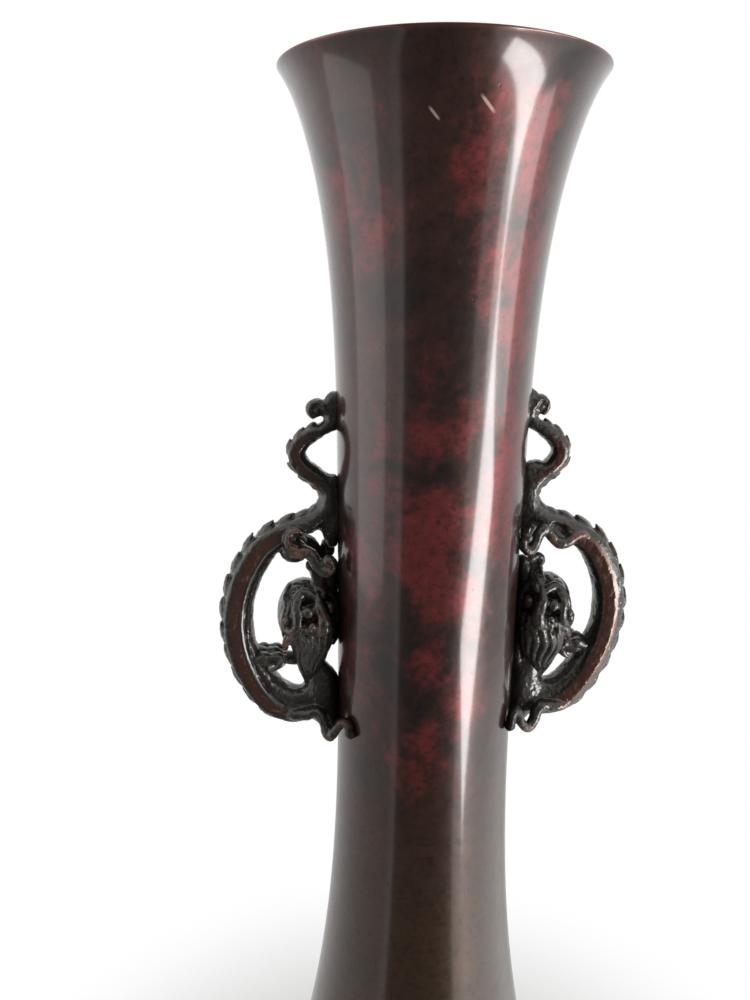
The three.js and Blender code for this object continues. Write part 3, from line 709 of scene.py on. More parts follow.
def frames_along(rows, steps):
    """At even steps along a line of rows [x, y, z, sizes ...]: its point, back, side and sizes."""
    rows = np.array(rows, float)
    last = len(rows) - 1
    made = []
    for i in range(steps + 1):
        t = last * i / steps
        here = through(rows, t)
        ahead = through(rows, min(t + 0.02, last)) - through(rows, max(t - 0.02, 0))
        along = Vector(ahead[:3]).normalized()
        back = along.cross((0, 1, 0)).normalized()
        made.append((Vector(here[:3]), back, back.cross(along), here[3:]))
    return made


def round_section(a, sizes):
    return math.cos(a), math.sin(a)


def strap_section(strap):
    """The dragon's section as a function of the angle round it and its sizes: between a circle and the
    strap by its squareness."""

    def section(a, sizes):
        half = a / math.pi if a <= math.pi else 2 - a / math.pi
        n, s = strap[round(half * (len(strap) - 1))]
        square = min(1, max(0, sizes[2]))
        n = n * square + math.cos(half * math.pi) * (1 - square)
        s = s * square + math.sin(half * math.pi) * (1 - square)
        return n, (s if a <= math.pi else -s)

    return section


def sweep(bm, rows, steps, around=12, section=round_section):
    """A closed skin along a line: a grid rolled up round it, with its two ends drawn together."""
    frames = frames_along(rows, steps)
    skin = bmesh.ops.create_grid(bm, x_segments=steps, y_segments=around, size=0.5)["verts"]
    for v in skin:
        i = round((v.co.x + 0.5) * steps)
        centre, back, side, sizes = frames[i]
        n, s = section(2 * math.pi * round((v.co.y + 0.5) * around) / around, sizes)
        if i in (0, steps):
            n = s = 0
        v.co = centre + back * (n * sizes[0]) + side * (s * sizes[1])
    bmesh.ops.remove_doubles(bm, verts=skin, dist=1e-3)


def bead(bm, centre, half, matrix=Matrix.Identity(4), fineness=3):
    """A ball stretched to its half widths."""
    whole = Matrix.Translation(centre) @ matrix @ Matrix.Diagonal((*half, 1))
    bmesh.ops.create_icosphere(bm, subdivisions=fineness, radius=1, matrix=whole)


def tube(bm, rows, flat=1.0, tip=1.0):
    """A strand with round ends through rows [x, y, z, radius]."""
    sweep(bm, [(*row, row[3] * flat) for row in rows], 4 * (len(rows) - 1))
    for row, swollen in ((rows[0], 1), (rows[-1], tip)):
        bead(bm, Vector(row[:3]), (row[3] * swollen,) * 3, fineness=2)


def strand(bm, points, first, last, flat=1.0, tip=1.0):
    """A tube through points whose radius runs from the first to the last."""
    count = len(points) - 1
    rows = [(*p, first + (last - first) * i / count) for i, p in enumerate(points)]
    tube(bm, rows, flat, tip)


def leaf(bm, root, along, up, side, length, width, height, tilt):
    """A leaf lying along a direction, its point standing off the surface."""
    made = bmesh.ops.create_uvsphere(bm, u_segments=16, v_segments=10, radius=1)["verts"]
    for v in made:
        l, w, h = v.co.x, v.co.y, v.co.z
        narrow = 1 - LEAF_NARROWS * max(0, l) ** 1.5
        roof = 1 - LEAF_ROOF * abs(w)
        v.co = (
            root
            + along * (l * length)
            + side * (w * width * narrow)
            + up * (h * height * narrow * roof + tilt * (l + 1) / 2)
        )


def hand_place(hand, d, y, h):
    """A place on a handle whose tail leans and stretches its own way."""
    above = max(0, h - TAIL_BEND)
    reach = d * (1 + hand["lean"] * h - hand["pull"] * above)
    return place(reach, y, h + hand["stretch"] * above)


def dragon_rows(hand):
    rows = []
    for i, (d, h, half, side, square) in enumerate(DRAGON):
        out = hand["curl_out"] if i < len(CURL) else 0
        rows.append((*hand_place(hand, d + out, 0, h), half, side, square))
    return rows


def spine_leaves(bm, rows):
    """Overlapping leaves down the back, small on the tail, each with its point towards the tail."""
    per_row = 24
    frames = frames_along(rows, per_row * (len(rows) - 1))
    i, last = per_row * FIRST_SPINED, per_row * LAST_SPINED
    while i < last:
        centre, back, side, sizes = frames[i]
        grown = min(1, sizes[0] / FULL_GROWN)
        pitch = SPINE_PITCH * grown
        tailwards = (frames[i - 1][0] - frames[i + 1][0]).normalized()
        root = centre + back * (sizes[0] * LEAF_SEAT - LEAF_SUNK * grown)
        wide, high, rise = LEAF_WIDTH * grown, LEAF_HEIGHT * grown, LEAF_RISE * grown
        leaf(bm, root, tailwards, back, side, pitch * LEAF_LENGTH, wide, high, rise)
        gone = 0
        while gone < pitch and i < last:
            gone += (frames[i + 1][0] - frames[i][0]).length
            i += 1


def cast(bm, name, voxel, smoothing):
    """One smoothed skin over every body in the bmesh, of voxels so wide."""
    mesh = mesh_of(bm, name)
    holder = bpy.data.objects.new(name, mesh)
    bpy.context.scene.collection.objects.link(holder)
    skin = holder.modifiers.new("skin", "REMESH")
    skin.mode = "VOXEL"
    skin.voxel_size = voxel
    soften = holder.modifiers.new("soften", "SMOOTH")
    soften.factor = 0.5
    soften.iterations = smoothing
    made = bpy.data.meshes.new_from_object(holder.evaluated_get(bpy.context.evaluated_depsgraph_get()))
    bpy.data.objects.remove(holder)
    bpy.data.meshes.remove(mesh)
    return made


def arrays(mesh):
    """The mesh's points and normals as arrays."""
    count = len(mesh.vertices)
    co, normal = np.empty(count * 3, np.float32), np.empty(count * 3, np.float32)
    mesh.vertices.foreach_get("co", co)
    mesh.vertex_normals.foreach_get("vector", normal)
    return co.reshape(-1, 3), normal.reshape(-1, 3)


def move_points(mesh, co):
    mesh.vertices.foreach_set("co", co.astype(np.float32).ravel())
    mesh.update()


def carve(mesh, points, width, depth):
    """Presses a groove of a width and a depth into the skin along points, or raises one below zero."""
    co, normal = arrays(mesh)
    line = np.array(points, np.float32)
    near = np.full(len(co), 1e9, np.float32)
    for p in line:
        near = np.minimum(near, ((co - p) ** 2).sum(1))
    share = np.clip(1 - near / (width * width), 0, 1)
    co -= normal * (depth * share * share)[:, None]
    move_points(mesh, co)


def smooth_line(points, per_span=6):
    rows = np.array([tuple(p) for p in points], float)
    return [through(rows, i / per_span) for i in range(per_span * (len(rows) - 1) + 1)]


# The unevenness that the moulds' sand leaves: its size, its depth and its seed
BODY_SAND = (3.4, 0.24, 3)
HEAD_SAND = (2.8, 0.16, 7)
PAW_SAND = (2.8, 0.16, 11)
POLISHED_AWAY = 0.85  # the share of it that the loop's polished edge has lost


def roughen(mesh, size, depth, seed, share=1.0):
    """The uneven skin of a sand casting: soft noise along the normals, a share of it at each point."""
    co, normal = arrays(mesh)
    offset = Vector((seed, 0, 0))
    height = [noise.fractal(Vector(p) / size + offset, 0.5, 2.3, 4) for p in co]
    co += normal * (depth * share * np.array(height, np.float32))[:, None]
    move_points(mesh, co)


def near_spots(mesh, spots):
    """How near each point lies to a spot, a centre and a radius: 1 at a centre, less round it."""
    co, _ = arrays(mesh)
    most = np.zeros(len(co), np.float32)
    for centre, radius in spots:
        away = ((co - np.array(centre, np.float32)) ** 2).sum(1) / (radius * radius)
        most = np.maximum(most, np.exp(-away))
    return most


def relaxed(mesh, co, rounds, share=1.0):
    """The points drawn towards the mean of their neighbours a number of times, by a share at each."""
    ends = np.empty(len(mesh.edges) * 2, np.int32)
    mesh.edges.foreach_get("vertices", ends)
    a, b = ends.reshape(-1, 2).T
    count = np.bincount(a, minlength=len(co)) + np.bincount(b, minlength=len(co))
    soft = co.astype(float)
    mean = np.empty_like(soft)
    for _ in range(rounds):
        for axis in range(3):
            mean[:, axis] = np.bincount(a, soft[b, axis], len(co)) + np.bincount(b, soft[a, axis], len(co))
        soft += (mean / count[:, None] - soft) * share
    return soft


def soften(mesh, spots, rounds):
    """Runs the forms of the casting into one another round each spot, a centre and a radius."""
    co, _ = arrays(mesh)
    share = np.zeros(len(co), np.float32)
    for centre, radius in spots:
        away = np.sqrt(((co - np.array(centre, np.float32)) ** 2).sum(1)) / radius
        share = np.maximum(share, np.clip(2 - 2 * away, 0, 1))
    move_points(mesh, relaxed(mesh, co, rounds, share[:, None]))


def store_relief(mesh, rounds=10):
    """Stores how far each point stands above the skin round it, in millimetres."""
    co, normal = arrays(mesh)
    store(mesh, "relief", ((co - relaxed(mesh, co, rounds)) * normal).sum(1))


# Painted shade lies this near to the wall and below this height, and thins out over so much
SHADE_REACH, SHADE_THINS = 5.8, 4
SHADE_TOP, SHADE_FADES = 34, 8


def store_painted_shade(mesh, hollow=0.0):
    """Stores painted shade at each point: how far it is shut in, beside the wall or in a hollow, where shade
    falls.
    """
    co, _ = arrays(mesh)
    out = np.hypot(co[:, 0], co[:, 1]) - NECK_FACE
    top = HANDLE_HEIGHT + SHADE_TOP - co[:, 2]
    corner = np.clip((SHADE_REACH - out) / SHADE_THINS, 0, 1) * np.clip(top / SHADE_FADES, 0, 1)
    store(mesh, "painted_shade", np.maximum(corner, hollow))


# Where the marks on the strap begin, and over how much they come in: by the section's squareness, by how
# far round its side a place lies for the band and the edge, and the same for the hollow
SQUARE_FROM = (0.65, 0.3)
STRAP_FROM = (0.62, 0.12)
FLANK_FROM = (0.3, 0.12)
BAND_SOFT, EDGE_SOFT = 0.12, 0.08  # over how much the band, and the edge and the hollow, fade out across it
# how dark the painted shade in the strap's hollow is
HOLLOW_SHADE = 0.9


def strap_marks(mesh, rows, hand):
    """At each point, how far it lies in the strap's band, on its polished edge and in its hollow."""
    steps = 8 * (len(rows) - 1)
    frames = frames_along(rows, steps)
    tree = KDTree(len(frames))
    for i, row in enumerate(frames):
        tree.insert(row[0], i)
    tree.balance()
    found = []
    for v in mesh.vertices:
        _, i, _ = tree.find(v.co)
        centre, back, side, sizes = frames[i]
        away = v.co - centre
        found.append((away.dot(back) / sizes[0], abs(away.dot(side)) / sizes[1], sizes[2]))
    n, s, square = np.array(found, np.float32).T

    def between(values, low, high, soft):
        return np.clip((values - low) / soft + 0.5, 0, 1) * np.clip((high - values) / soft + 0.5, 0, 1)

    def beyond(values, start, over):
        return np.clip((values - start) / over, 0, 1)

    strap = beyond(square, *SQUARE_FROM) * beyond(s, *STRAP_FROM)
    flank = beyond(square, *SQUARE_FROM) * beyond(s, *FLANK_FROM)
    return (
        between(n, *hand["band"], BAND_SOFT) * strap,
        between(n, *hand["polished"], EDGE_SOFT) * strap,
        between(n, *hand["hollow"], EDGE_SOFT) * flank * HOLLOW_SHADE,
    )


CUT_BELOW, CUT_ABOVE = 60, 100  # how far the castings may reach down and up from the loop's middle
CUT_GAP = 0.05


def neck_space():
    """The room that the neck takes up, with a hair's gap, for cutting the castings that sit on it."""
    heights = np.linspace(HANDLE_HEIGHT - CUT_BELOW, HANDLE_HEIGHT + CUT_ABOVE, 81)
    outside = [(neck_radius(z) + CUT_GAP, z) for z in heights]
    return mesh_of(turned([(0, heights[0]), *outside, (0, heights[-1])], 128), "neck_space")


CRUMB = 500  # points
SLIVER = 0.002  # millimetres


def drop_crumbs(mesh):
    """Takes off the slivers along a cut and the crumbs that it leaves, bits of a few points."""
    bm = bmesh.new()
    bm.from_mesh(mesh)
    bmesh.ops.dissolve_degenerate(bm, dist=SLIVER, edges=bm.edges)
    bm.verts.index_update()
    seen, crumbs = set(), []
    for start in bm.verts:
        if start in seen:
            continue
        bit, rest = {start}, [start]
        while rest:
            for edge in rest.pop().link_edges:
                for v in edge.verts:
                    if v not in bit:
                        bit.add(v)
                        rest.append(v)
        seen |= bit
        if len(bit) < CRUMB:
            crumbs += sorted(bit, key=lambda v: v.index)
    bmesh.ops.delete(bm, geom=crumbs, context="VERTS")
    bm.to_mesh(mesh)
    bm.free()


def cut_from_neck(mesh):
    """Cuts the casting back from the vase's neck."""
    holder = bpy.data.objects.new("casting", mesh)
    cutter = bpy.data.objects.new("cutter", neck_space())
    for o in (holder, cutter):
        bpy.context.scene.collection.objects.link(o)
    cut = holder.modifiers.new("cut", "BOOLEAN")
    cut.operation = "DIFFERENCE"
    cut.solver = "MANIFOLD"
    cut.object = cutter
    made = bpy.data.meshes.new_from_object(holder.evaluated_get(bpy.context.evaluated_depsgraph_get()))
    for o in (holder, cutter):
        old = o.data
        bpy.data.objects.remove(o)
        bpy.data.meshes.remove(old)
    drop_crumbs(made)
    return made


def fill(bm, hand, rows, around=20):
    """A rounded body through rows [distance, height, half width in the plane, half width sideways]."""
    placed = [(*hand_place(hand, d, 0, h), half, side) for d, h, half, side in rows]
    sweep(bm, placed, 6 * (len(rows) - 1), around)


def dragon_body(side):
    hand = HANDWORK[side]
    rows = dragon_rows(hand)
    bm = bmesh.new()
    sweep(bm, rows, 10 * (len(rows) - 1), STRAP_ROUND, strap_section(STRAPS[side]))
    # The tail's tip is wound up round a solid boss
    boss = hand_place(hand, CURL_CENTRE[0] + hand["curl_out"], 0, CURL_CENTRE[1])
    for half in BOSS:
        bead(bm, boss, half)
    roll = [(d, h, half - hand["roll"], wide) for d, h, half, wide in BELLY]
    for form in (roll, LUG, hand["web_top"] + WEB, CHEST, NAPE + hand["nape_end"]):
        fill(bm, hand, form)
    for turn in (-1, 1):
        d, y, h = HAUNCH
        bead(bm, place(d, turn * y, h + hand["lift"]), HAUNCH_HALF)
    core = cast(bm, "core", HANDLE_SKIN, 1)
    soften(core, [(place(d, 0, h), radius) for d, h, radius in BLENDED], 40)
    bm = bmesh.new()
    bm.from_mesh(core)
    bpy.data.meshes.remove(core)
    spine_leaves(bm, rows)
    for turn in (-1, 1):
        for name in ("upper_ribbon", "lower_ribbon"):
            line = [(*place(d, turn * y, h), r + RIBBON_SWELL) for d, y, h, r in hand[name]]
            tube(bm, line, RIBBON_FLAT, RIBBON_TIP)
    mesh = cast(bm, "dragon", HANDLE_SKIN, 3)
    for turn in (-1, 1):
        for name, groove in HOLES.items():
            carve(mesh, [place(d, turn * y, h) for d, y, h in hand[name]], *groove)
    _, polish, _ = strap_marks(mesh, rows, hand)
    roughen(mesh, *BODY_SAND, 1 - POLISHED_AWAY * polish)
    mesh = cut_from_neck(mesh)
    band, polish, hollow = strap_marks(mesh, rows, hand)
    store(mesh, "band", band)
    store(mesh, "polish", polish)
    store_painted_shade(mesh, hollow)
    store_relief(mesh)
    spots = [(place(d, turn * y, h), r) for d, y, h, r in hand["rubbed"] for turn in (-1, 1)]
    store(mesh, "rubbed", np.maximum(near_spots(mesh, spots), polish * hand["edge_wear"]))
    return mesh


# Head. A place on it is [forwards, sideways, height] from its upright axis, before it is turned.

SKULL = (13.0, 10.0, 14.8)  # its half widths
SNOUT, SNOUT_HALF = (10.4, 1.0, -1.6), (3.6, 5.4, 4.0)
NOSE_ASIDE = 0.8  # how far the nose stands towards the viewer's side
NOSE_WING, NOSE_WING_HALF = (13.0, 3.4, 0.6), (1.8, 1.7, 2.0)
NOSTRIL, MOUTH_CORNER = (14.2, 3.8, -0.2), (12.0, 6.2, -4.2)
EYEBALL = 2.5
BROW_LIFT, POLISHED_LIFT = 0.75, 2.0  # how far off the skull the brow runs, and where it is polished
POLISHED_REACH = 2.6
# The half width and the depth of the grooves in the face, and of the lines raised on it, below zero
SOCKET_GROOVE, NOSTRIL_GROOVE, MOUTH_GROOVE = (1.8, 2.4), (1.2, 1.5), (2.0, 1.6)
WRINKLE_GROOVE, WRINKLE_FOLD, FOLD_ABOVE = (0.9, 0.45), (0.9, -0.35), Vector((0, 0, 1.1))
PLATE_GROOVE, PLATE_SWELL = (0.9, 0.6), (2.6, -0.5)


def on_head(f, s, h):
    return Vector((-f, s, h))


def on_skull(f, s, h, lift=0.0):
    """The place on the skull's skin in the direction of a rough place, lifted off it."""
    k = 1 / math.sqrt((f / SKULL[0]) ** 2 + (s / SKULL[1]) ** 2 + (h / SKULL[2]) ** 2)
    f, s, h = f * k, s * k, h * k
    normal = Vector((-f / SKULL[0] ** 2, s / SKULL[1] ** 2, h / SKULL[2] ** 2)).normalized()
    return on_head(f, s, h) + normal * lift


# On the head's own side that faces the viewer, sideways is above zero
NOSE_RIDGE = [
    (4.6, -1.8, 13.8, 1.8), (7.4, -0.8, 12.4, 1.7), (10.2, 0.4, 10.2, 1.7), (12.2, 0.9, 7.6, 2.0),
    (13.4, 0.4, 4.9, 2.1), (14.2, -0.2, 2.2, 2.7), (14.4, 0.2, -0.6, 2.7), (13.0, 1.2, -2.8, 1.6),
]  # fmt: skip
CREST = [
    (7.8, -1.6, 12.8, 1.9), (6.2, -2.8, 14.2, 2.0), (4.4, -5.0, 16.0, 2.0), (2.6, -6.4, 18.0, 2.0),
    (1.2, -6.0, 20.0, 1.9), (0.0, -4.4, 21.0, 1.8), (-0.8, -2.7, 20.2, 1.6), (-0.7, -2.2, 18.8, 1.4),
    (0.4, -3.2, 17.8, 1.3),
]  # fmt: skip
SECOND_CREST = [
    (8.4, -0.2, 12.4, 1.3), (5.6, -1.4, 14.8, 1.5), (3.0, -2.8, 16.4, 1.9), (0.6, -3.4, 17.2, 1.9),
]  # fmt: skip
BROW = [
    (10.0, 1.6, 10.8, 1.4), (8.6, 2.6, 12.0, 1.8), (6.8, 4.0, 12.0, 2.0), (6.2, 5.6, 10.4, 2.1),
    (6.8, 6.6, 8.0, 2.2), (7.6, 7.0, 5.4, 2.3), (8.4, 7.0, 3.0, 2.2), (8.4, 7.4, 0.4, 2.0),
    (6.8, 8.6, -1.9, 1.8), (4.4, 9.4, -2.3, 1.8), (3.2, 9.8, -0.4, 1.7), (4.4, 9.4, 1.2, 1.5),
]  # fmt: skip
EYE = (9.8, 4.2, 5.4)
SOCKET = [
    (EYE[0], EYE[1] + 3.1 * math.cos(math.radians(a)), EYE[2] + 3.6 * math.sin(math.radians(a)))
    for a in range(0, 361, 30)
]
WRINKLES = [
    [(-0.4, 4.4, 13.2), (1.6, 3.6, 13.6), (3.4, 3.4, 13.4)],
    [(1.0, 6.2, 11.6), (2.8, 5.2, 12.2), (4.2, 5.0, 11.8)],
    [(2.2, 7.3, 9.8), (3.8, 6.6, 10.2), (5.0, 6.4, 9.8)],
    [(3.0, 8.0, 7.6), (4.2, 7.8, 7.8), (5.0, 7.6, 7.4)],
]  # fmt: skip
FLAP = [
    (9.6, 6.4, -1.6, 1.4), (7.6, 8.0, -3.0, 1.9), (5.6, 9.4, -4.8, 2.2), (3.8, 10.2, -7.4, 1.8),
    (2.6, 10.4, -10.0, 0.8),
]  # fmt: skip
# Where hands have rubbed the face, the last two spots on the nose ridge being a painted highlight: [forwards,
# sideways, height, radius]
FACE_WEAR_AND_HIGHLIGHT_SPOTS = [
    (4.0, 9.8, -1.4, 3.2), (3.6, 10.2, -8.4, 3.4), (8.0, 8.0, 0.4, 2.6), (6.0, 9.0, -3.6, 3.0),
    (14.0, 1.0, 4.0, 2.2), (14.6, 1.5, 0.0, 2.2),
]  # fmt: skip
PLATE_EDGE = [
    (-4.6, 5.0, 12.2), (-2.2, 7.4, 9.6), (0.8, 8.3, 8.1), (2.2, 9.0, 6.1), (1.7, 9.6, 3.5),
    (0.6, 10.0, -0.2), (-0.4, 9.6, -4.8), (-2.0, 8.4, -8.4),
]  # fmt: skip
MANE = [
    [(4.0, 8.6, 9.0), (2.0, 10.4, 5.0), (4.2, 11.0, 1.0), (2.2, 11.0, -3.0), (4.0, 10.4, -7.0),
     (3.0, 9.6, -11.0)],
    [(-2.0, 8.6, 8.0), (-3.2, 9.8, 3.0), (-1.6, 10.6, -1.0), (-3.4, 9.6, -5.0), (-2.0, 8.6, -9.0),
     (-0.4, 7.6, -13.0)],
]  # fmt: skip
BEARD = [
    (5.6, -2.6, 7.2, 7.6), (5.0, -7.0, 7.8, 8.2), (4.4, -12.0, 7.2, 7.8), (3.6, -17.0, 5.6, 5.8),
    (2.8, -21.4, 3.7, 3.8), (2.0, -25.0, 1.8, 1.9), (1.4, -27.6, 0.5, 0.6),
]  # fmt: skip
BEARD_CORE = 0.84
LOCKS, LOCKS_FROM, LOCKS_OVER = 14, -145, 290  # their number, and in degrees where they stand
LOCK_RADIUS, LOCK_THINS = 1.6, 0.085
WAVE_DEPTH, WAVE_STEP, WAVE_SHIFT = 0.15, 0.85, 0.35  # the shift is from one lock to the next


def beard(bm, width):
    """Wavy locks that run together to one tip, over a solid core, drawn in by a share towards the tip."""
    shape = []
    for i, (f, h, half, side) in enumerate(BEARD):
        drawn = 1 - (1 - width) * min(1, i / 2)
        shape.append((f, h, half * drawn, side * drawn))
    rows = [(*on_head(f, 0, h), half * BEARD_CORE, side * BEARD_CORE) for f, h, half, side in shape]
    sweep(bm, rows, 20, 20)
    for k in range(LOCKS):
        start = math.radians(LOCKS_FROM + LOCKS_OVER * k / (LOCKS - 1))
        line = []
        for i in range(2 * len(BEARD) - 1):
            f, h, half, side = through(np.array(shape), i / 2)
            a = start + WAVE_DEPTH * math.sin(WAVE_STEP * i + WAVE_SHIFT * k) * min(1, i / 3)
            r = LOCK_RADIUS - LOCK_THINS * i
            line.append((*on_head(f + half * math.cos(a), side * math.sin(a), h), r))
        tube(bm, line)


def dragon_head(side):
    hand = HANDWORK[side]
    near = -math.copysign(1, hand["look"])

    def tube_on_head(rows, turn, flat=1.0, tip=1.0):
        tube(bm, [(*on_head(f, s * turn, h), r) for f, s, h, r in rows], flat, tip)

    def hugging(rows, turn, lift=0.0):
        return [on_skull(f, s * turn, h, lift) for f, s, h in rows]

    def beside_nose(spot, turn):
        return on_head(spot[0], NOSE_ASIDE * near + spot[1] * turn, spot[2])

    bm = bmesh.new()
    bead(bm, Vector((0, 0, 0)), SKULL, fineness=4)
    bead(bm, on_head(SNOUT[0], SNOUT[1] * near, SNOUT[2]), SNOUT_HALF)
    for rows in (NOSE_RIDGE, CREST, SECOND_CREST):
        tube_on_head(rows, near)
    beard(bm, hand["beard"])
    for turn in (-1, 1):
        bead(bm, on_skull(EYE[0], EYE[1] * turn, EYE[2]), (EYEBALL,) * 3)
        bead(bm, beside_nose(NOSE_WING, turn), NOSE_WING_HALF)
        tube_on_head(FLAP, turn, 0.8)
        tube(bm, [(*on_skull(f, s * turn, h, BROW_LIFT), r) for f, s, h, r in BROW], 1.0, 1.1)
    for points in MANE:
        strand(bm, [on_head(f, -s * near, h) for f, s, h in points], 1.5, 0.9)
    mesh = cast(bm, "head", HEAD_SKIN, 2)
    for turn in (-1, 1):
        carve(mesh, smooth_line(hugging(SOCKET, turn, 0.2)), *SOCKET_GROOVE)
        carve(mesh, [beside_nose(NOSTRIL, turn)], *NOSTRIL_GROOVE)
        carve(mesh, [on_head(MOUTH_CORNER[0], MOUTH_CORNER[1] * turn, MOUTH_CORNER[2])], *MOUTH_GROOVE)
        for wrinkle in WRINKLES:
            line = hugging(wrinkle, turn)
            carve(mesh, smooth_line(line), *WRINKLE_GROOVE)
            carve(mesh, smooth_line([p + FOLD_ABOVE for p in line]), *WRINKLE_FOLD)
        edge = hugging([(f + hand["plate"], s, h) for f, s, h in PLATE_EDGE], turn)
        carve(mesh, smooth_line(edge), *PLATE_GROOVE)
        behind = [Vector((p.x + 2.4, p.y, p.z - 0.4)) for p in edge]
        carve(mesh, smooth_line(behind), *PLATE_SWELL)
    smooth = [on_head(f, s * near, h) for f, s, h, r in NOSE_RIDGE[3:]]
    smooth += [on_skull(f, s * near, h, POLISHED_LIFT) for f, s, h, r in BROW[3:8]]
    roughen(mesh, *HEAD_SAND)
    whole = Matrix.Translation(place(HEAD_REACH, 0, hand["drop"]))
    whole @= Matrix.Rotation(math.radians(hand["look"]), 4, "Z")
    mesh.transform(whole)
    mesh = cut_from_neck(mesh)
    store(mesh, "band", np.zeros(len(mesh.vertices)))
    store(mesh, "polish", near_spots(mesh, [(whole @ p, POLISHED_REACH) for p in smooth]))
    store_relief(mesh)
    store_painted_shade(mesh)
    # The spots on the nose ridge are a painted highlight, stored with the face's worn spots
    spots = []
    for turn in (-1, 1):
        for f, s, h, r in FACE_WEAR_AND_HIGHLIGHT_SPOTS:
            spots.append((whole @ on_head(f, s * turn, h), r))
    store(mesh, "rubbed", near_spots(mesh, spots) * hand["face_wear_and_highlight"])
    return mesh


FORELEG = [
    (9.0, 0, -20.0, 2.6, 3.4), (14.5, 0, -18.2, 2.8, 3.8), (20.0, 0, -17.2, 2.9, 4.2),
    (24.0, 0, -17.0, 3.6, 5.0), (28.0, 0, -17.0, 3.9, 5.6), (31.6, 0, -17.0, 3.2, 4.8),
    (33.6, 0, -17.0, 1.6, 2.6),
]  # fmt: skip
# Where the three fingers lie, [sideways, ahead], and how much lower than the middle one by their distance
FINGERS, FINGER_DROOP = [(-4.4, 0.0), (-0.2, 0.9), (4.2, -0.4)], 0.16
KNUCKLE = 1.12  # its radius as a share of the finger's
# Each finger's points are [distance, height, radius]; its knuckles stand on the paw's top
FINGER = [
    (20.8, -15.4, 1.6), (23.6, -13.6, 2.2), (26.4, -13.8, 1.9), (28.8, -13.4, 2.3), (31.6, -15.2, 1.8),
]  # fmt: skip
SIDE_CLAW = [
    (20.4, 4.6, -14.6, 1.5), (21.6, 6.0, -16.6, 1.7), (23.2, 6.6, -18.6, 1.3), (25.4, 6.6, -20.6, 0.5),
]  # fmt: skip


def forepaw(side):
    hand = HANDWORK[side]
    bm = bmesh.new()
    sweep(bm, [(*place(d, y, h), high, wide) for d, y, h, high, wide in FORELEG], 24, 16)
    for y, ahead in FINGERS:
        rows = [(*place(d + ahead, y, h - FINGER_DROOP * abs(y)), r) for d, h, r in FINGER]
        tube(bm, rows)
        for row in (rows[1], rows[3]):
            bead(bm, Vector(row[:3]), (row[3] * KNUCKLE,) * 3, fineness=2)
    for turn in (-1, 1):
        tube(bm, [(*place(d, y * turn, h), r) for d, y, h, r in SIDE_CLAW])
    mesh = cast(bm, "paw", HEAD_SKIN, 2)
    middle = place(hand["reach"], 0, FORELEG[3][2])
    flatter = Matrix.Translation(middle) @ Matrix.Diagonal((1, 1, hand["paw_height"], 1))
    mesh.transform(flatter @ Matrix.Translation(-place(0, 0, FORELEG[3][2])))
    mesh.transform(Matrix.Translation((0, 0, hand["drop"] + hand["raised"])))
    roughen(mesh, *PAW_SAND)
    for name in ("band", "polish", "rubbed", "painted_shade"):
        store(mesh, name, np.zeros(len(mesh.vertices)))
    store_relief(mesh)
    return mesh


RIVET_RADIUS = 1.6
RIVET_HEAD_RADIUS = 4
RIVET_HEAD_HEIGHT = 1.8
RIVET_BITE = 2.6
RIVETS = {"upper": 74, "middle": 46, "lower": -35}  # heights above the loop's middle


def rivet(height):
    """A rivet set from inside the vase, its domed head against the neck's wall."""
    z = HANDLE_HEIGHT + height
    wall = neck_inside(z)
    face = math.sqrt(wall**2 - RIVET_HEAD_RADIUS**2) - SEAT_GAP
    dome = bezier(
        [
            (0, face - RIVET_HEAD_HEIGHT),
            (RIVET_HEAD_RADIUS * 0.7, face - RIVET_HEAD_HEIGHT),
            (RIVET_HEAD_RADIUS, face - 0.8),
            (RIVET_HEAD_RADIUS, face - 0.2),
        ],
        8,
    )
    tip = neck_radius(z) + RIVET_BITE
    shank = [(RIVET_HEAD_RADIUS - 0.2, face), (RIVET_RADIUS, face), (RIVET_RADIUS, tip), (0, tip)]
    bm = turned([*dome, *shank], 32)
    bmesh.ops.rotate(bm, verts=bm.verts, cent=(0, 0, 0), matrix=Matrix.Rotation(math.pi / 2, 3, "Y"))
    bmesh.ops.translate(bm, verts=bm.verts, vec=(0, 0, z))
    return mesh_of(bm, "rivet")


HALF_TURN = Matrix.Rotation(math.pi, 4, "Z")
for side in ("right", "left"):
    castings = [("dragon_body", dragon_body), ("dragon_head", dragon_head), ("forepaw", forepaw)]
    made = [(name, shaped(side), RUBBED, "dragon_bronze") for name, shaped in castings]
    made += [(f"{name}_rivet", rivet(height), RAW, "inner_bronze") for name, height in RIVETS.items()]
    for name, mesh, material, slot in made:
        if side == "left":
            mesh.transform(HALF_TURN)
        finished(f"cast_{name}_{side}", mesh, material, f"{side}_{name}")


# Stage: a pale floor that fades into the white backdrop, soft boxes and the camera


FLOOR_RADIUS = 3
FADES_FROM, FADES_TO = 0.07, 0.26  # from the vase's axis


